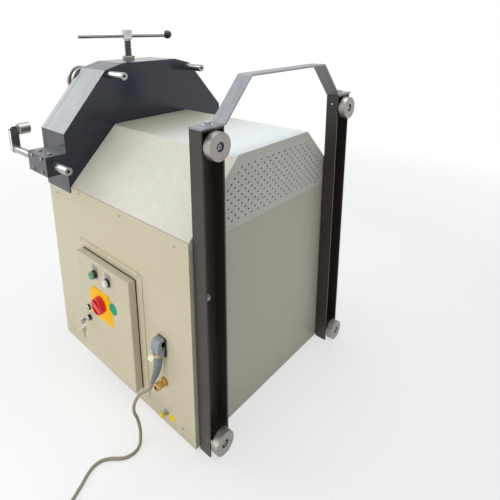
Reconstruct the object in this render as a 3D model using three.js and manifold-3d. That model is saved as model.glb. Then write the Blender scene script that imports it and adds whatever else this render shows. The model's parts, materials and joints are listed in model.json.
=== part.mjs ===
// Three-roller ring roller with an electric drive, a vertical pressure screw and a rear rest frame.
// Millimetres, +Z up. The rollers face -Y, the rest frame is at +Y, the control box at +X.
// The origin is the centre of the base plate's under face, on the floor.

import * as THREE from 'three';
import { mergeVertices } from 'three/addons/utils/BufferGeometryUtils.js';
import Module from 'manifold-3d';

const wasm = await Module();
wasm.setup();

// Clearances
const SEAT = 0.3; // between pieces that touch
const RUN = 0.3; // round a part that slides or turns in its bore
const SHAFT_RUN = 0.5; // round a shaft, so that its corners clear the flats of its bore
const SLIP = 1; // round a part that passes through a sheet

// Cabinet
const HALF_WIDTH = 380;
const REAR = 400;
const FRONT = -386;
const WALL_TOP = 688;
const ROOF_TOP = 885;
const ROOF_HALF = 179;
const REAR_SEAM = 667;
const SHEET = 3;
const HOOD_SHEET = 2.5;
const HOOD_LAP = 46;
const PANEL_FOOT = 2;
const BASE_PLATE = 8;
const VENT_DIAMETER = 6;
const VENT_SIDES = 5;
const VENT_COLUMNS = 18; // on each side of the middle one; every second column is half a pitch higher
const VENT_ROWS = 6;
const VENT_TAPER = 6.9; // rows lost along the whole of a chamfer
const VENT_SIDE_MARGIN = 110;
const VENT_TOP_MARGIN = 38;
const VENT_FOOT_MARGIN = 26;
const ANCHOR_INSET = 60;
const ANCHOR_HOLE = 14;
const DECK = 8;

// Head
const HEAD_REAR = -219;
const HEAD_DEPTH = 170;
const FRONT_PLATE = 30;
const HEAD_PROUD = 4; // beyond the cabinet on each side
const HEAD_HALF = HALF_WIDTH + HEAD_PROUD;
const HEAD_SHOULDER = 883;
const HEAD_CORNER_X = 204;
const HEAD_CORNER_Z = 1086;
const HEAD_TOP_HALF = 127;
const HEAD_TOP = 1107;
const HEAD_WALL = 8;
const HEAD_REAR_WALL = 10;
const HEAD_FRONT = HEAD_REAR - HEAD_DEPTH;
const PLATE_BACK = HEAD_FRONT + FRONT_PLATE;
const DECK_TOP = REAR_SEAM - SEAT;

// Rolls and drive
const ROLL_HALF_SPAN = 165;
const LOWER_LIFT = 148; // of the lower shafts, above the seam that the head stands on
const LOWER_Z = REAR_SEAM + LOWER_LIFT;
const UPPER_Z = 950;
const SHAFT = 40;
const NOSE = 30;
const SHOULDER_STAND = 11; // from the front plate to the shoulder that a roller seats on
const ROLLER_DIAMETER = 110;
const ROLLER_WIDTH = 50;
const GROOVE_WIDTH = 20;
const GROOVE_DEPTH = 22;
const ROLLER_CHAMFER = 2;
const NUT_DIAMETER = 50;
const NUT_WIDTH = 16;
const NOSE_END = 8;
const BEARING_CAP = 92;
const BEARING_CAP_THICK = 10;
const BEARING_BOSS = 74;
const BEARING_BOSS_DEPTH = 14;
const GEAR_MODULE = 8;
const PINION_TEETH = 20;
const GEAR_FACE = 36;
const GEAR_FROM_PLATE = 34;
const TOOTH_BACKLASH = 0.5;
const GEARBOX_HALF = 92;
const GEARBOX_LONG = 156;
const GEARBOX_HEADROOM = 39;
const GEARBOX_FLANGE = 150;
const GEARBOX_RIM = 1.4; // of the housing, below the flange
const MOTOR = 150;
const MOTOR_LONG = 250;
const MOTOR_STAND = 7; // from the head to the motor's flange
const MOTOR_FAN_COWL = 44;
const MOTOR_COWL_ROUND = 20;
const MOTOR_FLANGE_PROUD = 8;
const MOTOR_FLANGE_DEEP = 12;
const MOTOR_FIN_INSET = 6;

// Press slide and screw
const SLIDE_HALF = 50;
const SLIDE_BELOW = 45;
const SLIDE_ABOVE = 55;
const SLIDE_UP = 20;
const SLIDE_DOWN = 50;
const SLIDE_PROUD = 6;
const SLIDE_REAR_ROOM = 4;
const SLOT_ROOM = 5;
const RAIL_WIDTH = 22;
const RAIL_LIFT = 22;
const SCREW = 28;
const SCREW_FROM_FRONT = 24;
const SCREW_TOP = 1187;
const SCREW_HEAD = 34;
const SCREW_HEAD_TALL = 39;
const COLLAR_DIAMETER = 48;
const COLLAR_TALL = 12.7;
const NUT_BOSS_HALF = 40;
const NUT_BOSS_DEEP = 29;
const BAR = 20;
const BAR_PLAIN_REACH = 193;
const BAR_BALL_REACH = 172;
const BALL = 35;
const BAR_INTO_BALL = 10;
const BAR_TURN = 158.6; // degrees from +X to the ball end
const BAR_LIFT = 16; // from the foot of the square head to the bar's centre

// Pegs, spare rollers and side guides
const PEG = 28;
const PEG_LENGTH = 94.7;
const PEG_X = 187;
const PEG_Z = 1069;
const PEG_HOLE = 11;
const PEG_HOLE_DEPTH = 22;
const SPARE_Z = 1035;
const SPARE_PEG_LENGTH = 62;
const GUIDE_STAND = 42; // from the head's flank to the bar's centre
const GUIDE_X = HEAD_HALF + GUIDE_STAND;
const GUIDE_Z = 780;
const GUIDE_BLOCK_OUT = 30;
const GUIDE_BLOCK_TALL = 70;
const GUIDE_BAR_REACH = 150; // ahead of the head's front face
const GUIDE_ARM_LENGTH = 92;
const GUIDE_ARM_WIDTH = 34;
const GUIDE_ARM_THICK = 14;
const GUIDE_ROLLER = 44;
const GUIDE_ROLLER_LENGTH = 46;
const GUIDE_PIN = 14;

// Rear rest frame
const POST_INSET = 12.4;
const POST_OUTER = HALF_WIDTH - POST_INSET;
const POST_WIDE = 80;
const POST_DEEP = 43.8;
const POST_SHEET = 5;
const POST_GAP = 4.6;
const POST_FOOT = 1;
const POST_TOP = 998.6;
const POST_CAP = 6;
const POST_PAD = 30;
const DISC = 75;
const DISC_THICK = 24;
const DISC_STAND = 1; // from the post's open edge to the disc's back
const DISC_LOW = 38;
const DISC_HIGH = 955;
const DISC_SINK = 26;
const DISC_SINK_DEPTH = 11;
const DISC_CHAMFER = 1.5;
const DISC_SPACER = 40;
const STRAP_WIDE = 48;
const STRAP_THICK = 5;
const STRAP_TOP = 1116;
const STRAP_TOP_HALF = 185;
const STRAP_OVERHANG = 3.4;
const STRAP_TAB_INNER = POST_OUTER - POST_WIDE;
const STRAP_TAB_OUTER = POST_OUTER + STRAP_OVERHANG;

// Control box on the +X side
const DOOR_REAR = 150;
const DOOR_WIDE = 315;
const DOOR_FOOT = 64;
const DOOR_TALL = 412;
const DOOR_PROUD = 32;
const DOOR_FACE = HALF_WIDTH + DOOR_PROUD;
const DOOR_DEEP = 25;
const DOOR_SHEET = 2;
const BOX_RIM = 6; // how far the box's rim reaches into the door
const BOX_DEEP = 118;
const PLATE_INSET = 23;
const RAIL_DEEP = 10;
const RAIL_TALL = 34;
const RAIL_INSET = 10;
const DEVICE_DEEP = 72;
const DEVICE_TALL = 68;
const DEVICE_NOSE_DEEP = 86;
const DEVICE_NOSE_TALL = 40;
const TERMINAL_ROW_WIDE = 190;
const CONTACTOR_ROW_WIDE = 136;
const FLANGE_REAR = 180;
const FLANGE_WIDE = 380;
const FLANGE_FOOT = 35;
const FLANGE_TALL = 470;
const FLANGE_RADIUS = 16;
const BUTTON_Y = -44;
const LAMP_Y = 33;
const BUTTON_Z = 430;
const BEZEL = 29.5;
const BEZEL_TALL = 9;
const BUTTON = 22;
const BUTTON_PROUD = 10;
const BUTTON_TRAVEL = 4;
const LEGEND_WIDE = 30;
const LEGEND_TALL = 40;
const LEGEND_LIFT = 4;
const LEGEND_THICK = 1;
const SWITCH_Y = -22;
const SWITCH_Z = 322;
const SWITCH_PLATE = 104;
const SWITCH_PLATE_THICK = 2;
const KNOB = 60;
const KNOB_TALL = 21;
const KNOB_BEVEL = 3;
const KNOB_RIM = 4; // round the recesses on both sides of the grip
const KNOB_RECESS = 12;
const KNOB_GRIP_WIDE = 20;
const KNOB_GRIP_TURN = -22;
const LOCK_Y = -112;
const LOCK_HIGH_Z = 268;
const LOCK_LOW_Z = 226;
const LOCK = 20;
const LOCK_TALL = 12;
const KEY_PLUG = 12;
const KEY_BOW = 24;
const KEY_LONG = 24;
const KEY_THICK = 2.4;

// Connector, gland and earth stud, low at the rear of the +X side
const OUTLET_Y = 265;
const CONNECTOR_Z = 300;
const CONNECTOR_WIDE = 40;
const CONNECTOR_TALL = 64;
const CONNECTOR_FLANGE = 4;
const CONNECTOR_HOUSING = 12;
const HOOD_PLUG_OUT = 27;
const HOOD_PLUG_TALL = 36;
const HOOD_NECK = 278; // where the hood's round neck ends and the nut of its cable entry begins
const GLAND_Z = 166;
const GLAND_LONG = 36;
const GLAND_BORE = 12;
const GLAND_SHANK = 20;
const EARTH_Z = 47;
const EARTH_BOLT = 8;
const EARTH_LONG = 22;

// Cable and foot switch. The first number of each place is measured from the side panel.
const CABLE = 10;
const BOOT_TOP = [28.4, 264, 247.2];
const BOOT_ROOT = 28;
const BOOT_RIBS = 4;
const BOOT_RIB = 6;
const BOOT_TAPER = 1.5;
const ENTRY_NUT = 33;
const CABLE_ROUTE = [
  [46.5, 262, 190], [51.6, 261.2, 177], [56.5, 247, 160], [62, 231, 146], [73, 220, 130],
  [84, 217.5, 113], [89, 218, 94], [86, 217.5, 74], [80, 219, 54], [79, 228, 27],
  [89, 245, 11.5], [106.4, 263, 6.1], [122, 270, 5], [139.3, 270.6, 5], [156.3, 265, 5],
  [170, 255, 5], [189, 234.5, 5], [211.7, 220, 5], [233.6, 217.6, 5], [258, 225, 5],
  [283, 238.5, 5], [308, 250.5, 5], [335, 263.5, 5], [365, 278.5, 5], [394.7, 293.2, 5],
];
const COIL_CENTRE = [365.5, 352];
const COIL_START = -63.4; // degrees, where the cable runs onto the coil
const COIL_RADIUS = 66;
const COIL_TURNS = 4;
const COIL_PITCH = 11;
const COIL_RISE = 10.8;
const COIL_STEPS = 24;
const PEDAL_DEEP = 190;
const PEDAL_WIDE = 220;
const PEDAL_BASE = 8;
const PEDAL_REAR_DEEP = 58;
const PEDAL_REAR_TALL = 42;
const PEDAL_BOOT = 58;
const PEDAL_GLAND = 11;
const TREADLE_WIDE = 92;
const TREADLE_LONG = 118;
const TREADLE_THICK = 8;
const TREADLE_BARREL = 12;
const TREADLE_Z = 32;
const EAR_THICK = 6;

const steel = { color: 0xa8a8a6, roughness: 0.35, metalness: 0.9 };
const beige = { color: 0xcdc6b0, roughness: 0.55, metalness: 0.1 };
const charcoal = { color: 0x35353a, roughness: 0.35, metalness: 0.2 };
const black = { color: 0x1c1c20, roughness: 0.4, metalness: 0.2 };
const zinc = { color: 0xb4b8ba, roughness: 0.4, metalness: 0.85 };
const castIron = { color: 0x5f6b74, roughness: 0.7, metalness: 0.4 };

const part = new THREE.Group();

// Geometry helpers

function closed(geometry) {
  const bare = geometry.clone();
  for (const name of Object.keys(bare.attributes)) {
    if (name !== 'position') bare.deleteAttribute(name);
  }
  const merged = mergeVertices(bare, 1e-4);
  const at = merged.attributes.position.array;
  const source = merged.index.array;
  const faces = [];
  let volume = 0;
  for (let i = 0; i < source.length; i += 3) {
    const [a, b, c] = [source[i], source[i + 1], source[i + 2]];
    if (a === b || b === c || a === c) continue;
    faces.push(a, b, c);
    const [pa, pb, pc] = [a, b, c].map((v) => new THREE.Vector3().fromArray(at, v * 3));
    volume += pa.dot(pb.cross(pc));
  }
  if (volume < 0) faces.reverse();
  merged.setIndex(faces);
  return merged;
}

function solid(geometry) {
  const mesh = closed(geometry);
  return new wasm.Manifold(new wasm.Mesh({
    numProp: 3,
    vertProperties: new Float32Array(mesh.attributes.position.array),
    triVerts: new Uint32Array(mesh.index.array),
  }));
}

function geometryOf(manifold) {
  const mesh = manifold.getMesh();
  const geometry = new THREE.BufferGeometry();
  const places = new THREE.BufferAttribute(new Float32Array(mesh.vertProperties), 3);
  geometry.setAttribute('position', places);
  geometry.setIndex(Array.from(mesh.triVerts));
  return geometry;
}

function join(first, ...others) {
  return geometryOf(others.reduce((sum, g) => sum.add(solid(g)), solid(first)));
}

function cut(body, ...tools) {
  return geometryOf(tools.reduce((rest, g) => rest.subtract(solid(g)), solid(body)));
}

function block(x0, x1, y0, y1, z0, z1) {
  const geometry = new THREE.BoxGeometry(x1 - x0, y1 - y0, z1 - z0);
  return geometry.translate((x0 + x1) / 2, (y0 + y1) / 2, (z0 + z1) / 2);
}

function shapeOf(points) {
  return new THREE.Shape(points.map(([x, y]) => new THREE.Vector2(x, y)));
}

// Corners of a regular polygon, with a flat side down
function ring(diameter, sides, x = 0, y = 0) {
  return Array.from({ length: sides }, (_, i) => {
    const a = ((i + 0.5) / sides) * Math.PI * 2 - Math.PI / 2;
    return [x + (diameter / 2) * Math.cos(a), y + (diameter / 2) * Math.sin(a)];
  });
}

// Extrudes an outline drawn in X and Z, from y0 back to y1
function slabXZ(shape, y0, y1) {
  const geometry = new THREE.ExtrudeGeometry(shape, {
    depth: y1 - y0, bevelEnabled: false, curveSegments: 6,
  });
  return geometry.rotateX(Math.PI / 2).translate(0, y1, 0);
}

// Extrudes an outline drawn in Y and Z, from x0 out to x1
function slabYZ(shape, x0, x1) {
  const geometry = new THREE.ExtrudeGeometry(shape, {
    depth: x1 - x0, bevelEnabled: false, curveSegments: 6,
  });
  const turn = new THREE.Matrix4().makeBasis(
    new THREE.Vector3(0, 1, 0), new THREE.Vector3(0, 0, 1), new THREE.Vector3(1, 0, 0));
  return geometry.applyMatrix4(turn).translate(x0, 0, 0);
}

// Extrudes an outline drawn in X and Y, from z0 up to z1
function slabXY(shape, z0, z1) {
  const geometry = new THREE.ExtrudeGeometry(shape, {
    depth: z1 - z0, bevelEnabled: false, curveSegments: 6,
  });
  return geometry.translate(0, 0, z0);
}

// A turned piece about the Y axis, from [radius, y] points that start and end on the axis
function turnedY(points, sides = 20) {
  return new THREE.LatheGeometry(points.map(([r, y]) => new THREE.Vector2(r, y)), sides);
}

function turnedZ(points, sides = 20) {
  return turnedY(points, sides).rotateX(Math.PI / 2);
}

function turnedX(points, sides = 20) {
  return turnedY(points, sides).rotateZ(-Math.PI / 2);
}

function rodY(diameter, y0, y1, x = 0, z = 0, sides = 16) {
  const r = diameter / 2;
  return turnedY([[0, y0], [r, y0], [r, y1], [0, y1]], sides).translate(x, 0, z);
}

function rodZ(diameter, z0, z1, x = 0, y = 0, sides = 16) {
  const r = diameter / 2;
  return turnedZ([[0, z0], [r, z0], [r, z1], [0, z1]], sides).translate(x, y, 0);
}

function rodX(diameter, x0, x1, y = 0, z = 0, sides = 16) {
  const r = diameter / 2;
  return turnedX([[0, x0], [r, x0], [r, x1], [0, x1]], sides).translate(0, y, z);
}

// Moves a polyline sideways, to the right of its direction, with mitred corners
function beside(points, distance, loop = false) {
  const count = points.length;
  const normal = (a, b) => {
    const length = Math.hypot(b[0] - a[0], b[1] - a[1]);
    return [(b[1] - a[1]) / length, -(b[0] - a[0]) / length];
  };
  return points.map((p, i) => {
    const before = loop || i > 0 ? normal(points[(i + count - 1) % count], p) : null;
    const after = loop || i < count - 1 ? normal(p, points[(i + 1) % count]) : null;
    const n = before ?? after;
    const m = after ?? before;
    const mitre = distance / (1 + n[0] * m[0] + n[1] * m[1]);
    return [p[0] + (n[0] + m[0]) * mitre, p[1] + (n[1] + m[1]) * mitre];
  });
}

function mirrored(half) {
  return [...half, ...half.map(([x, z]) => [-x, z]).reverse()];
}

function add(parent, name, geometry, look, x = 0, y = 0, z = 0) {
  const mesh = new THREE.Mesh(closed(geometry), new THREE.MeshStandardMaterial(look));
  mesh.name = name;
  mesh.position.set(x, y, z);
  parent.add(mesh);
  return mesh;
}

function groupAt(x, y, z) {
  const group = new THREE.Group();
  group.position.set(x, y, z);
  part.add(group);
  return group;
}

// Cabinet: base plate, deck, walls and hood

const inner = HALF_WIDTH - SHEET - SEAT;
const chamferRise = (ROOF_TOP - WALL_TOP) / (HALF_WIDTH - ROOF_HALF);
const eavesZ = WALL_TOP + (HALF_WIDTH - inner) * chamferRise;

function basePlate() {
  const plate = block(-inner, inner, FRONT + SHEET + SEAT, REAR - SHEET - SEAT, 0, BASE_PLATE);
  const holes = [];
  for (const x of [-inner + ANCHOR_INSET, inner - ANCHOR_INSET]) {
    for (const y of [FRONT + ANCHOR_INSET, REAR - ANCHOR_INSET]) {
      holes.push(rodZ(ANCHOR_HOLE, -1, BASE_PLATE + 1, x, y, 8));
    }
  }
  return cut(plate, ...holes);
}

function headDeck() {
  return block(-inner, inner, FRONT, HEAD_REAR, DECK_TOP - DECK, DECK_TOP);
}

function sideOutline() {
  const notch = HEAD_REAR + SEAT;
  return shapeOf([
    [FRONT, PANEL_FOOT], [REAR, PANEL_FOOT], [REAR, WALL_TOP],
    [notch, WALL_TOP], [notch, DECK_TOP], [FRONT, DECK_TOP],
  ]);
}

// The control box's tub, inside the door's folded edge
const tubRear = DOOR_REAR - DOOR_SHEET - SEAT;
const tubFront = DOOR_REAR - DOOR_WIDE + DOOR_SHEET + SEAT;
const tubFoot = DOOR_FOOT + DOOR_SHEET + SEAT;
const tubTop = DOOR_FOOT + DOOR_TALL - DOOR_SHEET - SEAT;
const doorBack = DOOR_FACE - DOOR_DEEP;

// The earth stud is welded to the sheet, with its nut run down
function controlSide() {
  const [x0, x1] = [HALF_WIDTH - SHEET - 1, HALF_WIDTH + 1];
  const r = EARTH_BOLT / 2;
  const stud = turnedX([
    [0, HALF_WIDTH - 1], [r + 3.5, HALF_WIDTH - 1], [r + 3.5, HALF_WIDTH + 8], [r, HALF_WIDTH + 8],
    [r, HALF_WIDTH + EARTH_LONG], [0, HALF_WIDTH + EARTH_LONG],
  ], 6).translate(0, OUTLET_Y, EARTH_Z);
  return cut(
    join(slabYZ(sideOutline(), HALF_WIDTH - SHEET, HALF_WIDTH), stud),
    block(x0, x1, tubFront - SLIP, tubRear + SLIP, tubFoot - SLIP, tubTop + SLIP),
    block(x0, x1, OUTLET_Y - 14, OUTLET_Y + 14, CONNECTOR_Z - 18, CONNECTOR_Z + 18),
    rodX(GLAND_SHANK + SLIP, x0, x1, OUTLET_Y, GLAND_Z, 16),
  );
}

function frontPanel() {
  return block(-inner, inner, FRONT, FRONT + SHEET, PANEL_FOOT, DECK_TOP - DECK - SEAT);
}

function rearAccessPanel() {
  return block(-inner, inner, REAR - SHEET, REAR, PANEL_FOOT, REAR_SEAM - SEAT / 2);
}

// Staggered columns, which grow shorter beside the chamfers
function ventPlaces() {
  const first = REAR_SEAM + VENT_FOOT_MARGIN;
  const pitch = (ROOF_TOP - VENT_TOP_MARGIN - first) / (VENT_ROWS - 0.5);
  const places = [];
  for (let column = -VENT_COLUMNS; column <= VENT_COLUMNS; column += 1) {
    const x = (column / VENT_COLUMNS) * (HALF_WIDTH - VENT_SIDE_MARGIN);
    const lost = (Math.max(0, Math.abs(x) - ROOF_HALF) / (inner - ROOF_HALF)) * VENT_TAPER;
    for (let row = column % 2 === 0 ? 0 : 0.5; row < VENT_ROWS - lost; row += 1) {
      places.push([x, first + row * pitch]);
    }
  }
  return places;
}

// The upper rear wall closes the hood and carries the vents
function ventedRearPanel() {
  const shape = shapeOf(mirrored([
    [inner, REAR_SEAM + SEAT / 2], [inner, eavesZ], [ROOF_HALF, ROOF_TOP],
  ]));
  shape.holes = ventPlaces().map(([x, z]) => new THREE.Path(
    ring(VENT_DIAMETER, VENT_SIDES, x, z).map(([a, b]) => new THREE.Vector2(a, b))));
  return slabXZ(shape, REAR - SHEET, REAR);
}

// Folded sheet: flat roof, two chamfers, and laps inside the side panels
function topHood() {
  const outer = [
    [-inner, WALL_TOP - HOOD_LAP], [-inner, eavesZ], [-ROOF_HALF, ROOF_TOP],
    [ROOF_HALF, ROOF_TOP], [inner, eavesZ], [inner, WALL_TOP - HOOD_LAP],
  ];
  const underside = beside(outer, HOOD_SHEET).reverse();
  return slabXZ(shapeOf([...outer, ...underside]), HEAD_REAR + SEAT, REAR - SHEET - SEAT);
}

add(part, 'base_plate', basePlate(), charcoal);
add(part, 'head_deck', headDeck(), charcoal);
add(part, 'side_panel_control', controlSide(), beige);
add(part, 'side_panel_plain', slabYZ(sideOutline(), -HALF_WIDTH, SHEET - HALF_WIDTH), beige);
add(part, 'front_panel', frontPanel(), beige);
add(part, 'rear_access_panel', rearAccessPanel(), beige);
add(part, 'vented_rear_panel', ventedRearPanel(), beige);
add(part, 'top_hood', topHood(), beige);

// Head: front plate, housing, collar and bearing caps

// One tooth more than the least that reaches across, so the pinion lies below the two gears
const toothSum = Math.ceil((2 * ROLL_HALF_SPAN) / GEAR_MODULE) + 1;
const gearTeeth = toothSum - PINION_TEETH;
const pinionZ = LOWER_Z - Math.sqrt(((GEAR_MODULE * toothSum) / 2) ** 2 - ROLL_HALF_SPAN ** 2);
const screwY = HEAD_FRONT + SCREW_FROM_FRONT;
const slideFoot = UPPER_Z - SLIDE_BELOW;
const slideTop = UPPER_Z + SLIDE_ABOVE;
const slotTop = slideTop + SLIDE_UP + SLOT_ROOM;
const slotFoot = slideFoot - SLIDE_DOWN - SLOT_ROOM;
const rearWallFace = HEAD_REAR - HEAD_REAR_WALL;

function headHalf() {
  return [
    [HEAD_HALF, REAR_SEAM], [HEAD_HALF, HEAD_SHOULDER],
    [HEAD_CORNER_X, HEAD_CORNER_Z], [HEAD_TOP_HALF, HEAD_TOP],
  ];
}

function headFrontPlate() {
  const plate = slabXZ(shapeOf(mirrored(headHalf())), HEAD_FRONT, PLATE_BACK);
  const nutBoss = block(-NUT_BOSS_HALF, NUT_BOSS_HALF, PLATE_BACK - 1, PLATE_BACK + NUT_BOSS_DEEP,
    slotTop + SLOT_ROOM, HEAD_TOP - HEAD_WALL - SEAT);
  const pegs = [-1, 1].map((side) => rodY(
    PEG, HEAD_FRONT - SPARE_PEG_LENGTH, HEAD_FRONT + 1, side * PEG_X, SPARE_Z, 20));
  const r = COLLAR_DIAMETER / 2;
  const collarTop = HEAD_TOP + COLLAR_TALL;
  const collar = cut(
    turnedZ([
      [0, HEAD_TOP - 1], [r, HEAD_TOP - 1], [r, collarTop - 1.5], [r - 1.5, collarTop], [0, collarTop],
    ]).translate(0, screwY, 0),
    block(-r, r, PLATE_BACK, screwY + r + 1, HEAD_TOP - 2, HEAD_TOP + SEAT),
  );
  const shaftHoles = [-1, 1].map((side) => rodY(
    SHAFT + SHAFT_RUN * 2, HEAD_FRONT - 1, PLATE_BACK + 1, side * ROLL_HALF_SPAN, LOWER_Z));
  return cut(
    join(plate, nutBoss, ...pegs, collar), ...shaftHoles,
    block(-SLIDE_HALF - RUN, SLIDE_HALF + RUN, HEAD_FRONT - 1, PLATE_BACK + 1, slotFoot, slotTop),
    rodZ(SCREW + RUN * 2, slotTop - 1, HEAD_TOP + COLLAR_TALL + 1, 0, screwY),
  );
}

function headHousing() {
  const outline = mirrored(headHalf());
  const room = beside(outline, -HEAD_WALL, true);
  room[0][1] = REAR_SEAM - HEAD_WALL;
  room[room.length - 1][1] = REAR_SEAM - HEAD_WALL;
  const shell = cut(
    slabXZ(shapeOf(outline), PLATE_BACK + SEAT, HEAD_REAR),
    slabXZ(shapeOf(room), PLATE_BACK, rearWallFace),
  );
  const rails = [-1, 1].map((side) => {
    const from = SLIDE_HALF + RUN;
    const [x0, x1] = side > 0 ? [from, from + RAIL_WIDTH] : [-from - RAIL_WIDTH, -from];
    return block(x0, x1, PLATE_BACK + SEAT, rearWallFace + 1, slotFoot + RAIL_LIFT, slotTop);
  });
  const bosses = [-1, 1].map((side) => rodY(
    BEARING_BOSS, rearWallFace - BEARING_BOSS_DEPTH, rearWallFace + 1,
    side * ROLL_HALF_SPAN, LOWER_Z));
  const shaftHoles = [-1, 1].map((side) => rodY(
    SHAFT + SHAFT_RUN * 2, rearWallFace - BEARING_BOSS_DEPTH - 1, HEAD_REAR + 1,
    side * ROLL_HALF_SPAN, LOWER_Z));
  return cut(
    join(shell, ...rails, ...bosses), ...shaftHoles,
    rodY(SHAFT + SHAFT_RUN * 2, rearWallFace - 1, HEAD_REAR + 1, 0, pinionZ),
    rodZ(SCREW + RUN * 2, HEAD_TOP - HEAD_WALL - 1, HEAD_TOP + 1, 0, screwY),
  );
}

function bearingCap() {
  const [r, bore] = [BEARING_CAP / 2, SHAFT / 2 + SHAFT_RUN];
  const [back, face] = [HEAD_FRONT - SEAT, HEAD_FRONT - SEAT - BEARING_CAP_THICK];
  return turnedY([
    [bore, face], [r - 2, face], [r, face + 2], [r, back], [bore, back], [bore, face],
  ], 16);
}

// A round bar end with a tapped hole for the bolt that holds a stored roller
function pegSolid(y0, y1) {
  const [r, hole, deep] = [PEG / 2, PEG_HOLE / 2, y1 - PEG_HOLE_DEPTH];
  return turnedY([[0, y0], [r, y0], [r, y1 - 1], [r - 1, y1], [hole, y1], [hole, deep], [0, deep]], 16);
}

add(part, 'head_front_plate', headFrontPlate(), charcoal);
add(part, 'head_housing', headHousing(), charcoal);
for (const [name, side] of [['left', -1], ['right', 1]]) {
  add(part, `bearing_cap_${name}`, bearingCap(), steel, side * ROLL_HALF_SPAN, 0, LOWER_Z);
  add(part, `storage_peg_${name}`, pegSolid(HEAD_REAR + SEAT, HEAD_REAR + PEG_LENGTH), steel,
    side * PEG_X, 0, PEG_Z);
}

// Rolls: each has a stepped shaft with its ring nut, and a grooved roller

const shoulder = HEAD_FRONT - SHOULDER_STAND;
const rollerBack = shoulder - SEAT;
const rollerFace = rollerBack - ROLLER_WIDTH;
const nutBack = rollerFace - SEAT;
const noseTip = nutBack - NUT_WIDTH - NOSE_END;
const shaftRear = HEAD_REAR - 3;

function rollShaft(rear) {
  const [r, nose, nut] = [SHAFT / 2, NOSE / 2, NUT_DIAMETER / 2];
  return turnedY([
    [0, noseTip], [nose - 1.5, noseTip], [nose, noseTip + 1.5], [nose, nutBack - NUT_WIDTH],
    [nut - 1.5, nutBack - NUT_WIDTH], [nut, nutBack - NUT_WIDTH + 1.5], [nut, nutBack],
    [nose, nutBack], [nose, shoulder], [r, shoulder], [r, rear], [0, rear],
  ], 16);
}

function rollerSolid(back, bore) {
  const r = ROLLER_DIAMETER / 2;
  const floor = r - GROOVE_DEPTH;
  const face = back - ROLLER_WIDTH;
  const [g0, g1] = [face + (ROLLER_WIDTH - GROOVE_WIDTH) / 2, face + (ROLLER_WIDTH + GROOVE_WIDTH) / 2];
  const c = ROLLER_CHAMFER;
  return turnedY([
    [bore / 2, face], [r - c, face], [r, face + c], [r, g0], [floor, g0],
    [floor, g1], [r, g1], [r, back - c], [r - c, back], [bore / 2, back], [bore / 2, face],
  ]);
}

// Involute-like teeth: root, pitch and tip points on both flanks
function gearShape(teeth, phase) {
  const pitch = (GEAR_MODULE * teeth) / 2;
  const half = Math.PI / teeth / 2 - TOOTH_BACKLASH / 2 / pitch;
  const flank = [
    [pitch - 1.22 * GEAR_MODULE, half * 1.52],
    [pitch, half],
    [pitch + 0.95 * GEAR_MODULE, half * 0.42],
  ];
  const points = [];
  for (let i = 0; i < teeth; i += 1) {
    const centre = phase + (i * 2 * Math.PI) / teeth;
    for (const [r, a] of flank) points.push([r * Math.cos(centre - a), r * Math.sin(centre - a)]);
    for (const [r, a] of flank.slice().reverse()) {
      points.push([r * Math.cos(centre + a), r * Math.sin(centre + a)]);
    }
  }
  return shapeOf(points);
}

const gearFront = PLATE_BACK + GEAR_FROM_PLATE;
const gearBack = gearFront + GEAR_FACE;
const pinionPhase = Math.PI / 2;

// The tooth phase that meshes with the pinion, along the line between the two centres
function gearPhase(side) {
  const line = Math.atan2(LOWER_Z - pinionZ, side * ROLL_HALF_SPAN);
  const halfTooth = Math.PI / gearTeeth;
  return line + Math.PI - halfTooth - (PINION_TEETH / gearTeeth) * (pinionPhase - line);
}

function drivePinion() {
  const teeth = slabXZ(gearShape(PINION_TEETH, pinionPhase), gearFront, gearBack);
  return join(
    teeth,
    rodY(SHAFT, gearFront - 20, gearFront + 1),
    rodY(SHAFT, gearBack - 1, HEAD_REAR - 2),
  );
}

for (const [name, side] of [['left', -1], ['right', 1]]) {
  const roll = groupAt(side * ROLL_HALF_SPAN, 0, LOWER_Z);
  add(roll, `shaft_${name}`, rollShaft(shaftRear), steel);
  add(roll, `roller_${name}`, rollerSolid(rollerBack, NOSE + RUN * 2), steel);
  add(roll, `gear_${name}`, cut(
    slabXZ(gearShape(gearTeeth, gearPhase(side)), gearFront, gearBack),
    rodY(SHAFT + RUN * 2, gearFront - 1, gearBack + 1)), castIron);
  add(part, `spare_roller_${name}`, rollerSolid(HEAD_FRONT - SEAT, PEG + RUN * 2), steel,
    side * PEG_X, 0, SPARE_Z);
}
add(part, 'drive_pinion', drivePinion(), castIron, 0, 0, pinionZ);

// Press slide with the upper roll, the pressure screw and its sliding bar

const slideFront = HEAD_FRONT - SLIDE_PROUD;
const slideRear = rearWallFace - SLIDE_REAR_ROOM;

function pressSlide() {
  return cut(
    block(-SLIDE_HALF, SLIDE_HALF, slideFront, slideRear, -SLIDE_BELOW, SLIDE_ABOVE),
    rodY(SHAFT + SHAFT_RUN * 2, slideFront - 1, slideRear + 1),
  );
}

function pressureScrew() {
  const [r, half] = [SCREW / 2, SCREW_HEAD / 2];
  const foot = slideTop + SEAT;
  const stem = turnedZ([[0, foot], [r - 2, foot], [r, foot + 2], [r, SCREW_TOP + 1], [0, SCREW_TOP + 1]]);
  const head = block(-half, half, -half, half, SCREW_TOP, SCREW_TOP + SCREW_HEAD_TALL);
  const eye = rodX(BAR + RUN * 2, -SCREW_HEAD, SCREW_HEAD, 0, SCREW_TOP + BAR_LIFT);
  return cut(join(stem, head), eye);
}

function tommyBar() {
  const r = BAR / 2;
  const end = BAR_BALL_REACH - BALL / 2 + BAR_INTO_BALL;
  return turnedX([
    [0, -BAR_PLAIN_REACH], [r - 1, -BAR_PLAIN_REACH], [r, 1 - BAR_PLAIN_REACH], [r, end], [0, end],
  ], 20);
}

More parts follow.
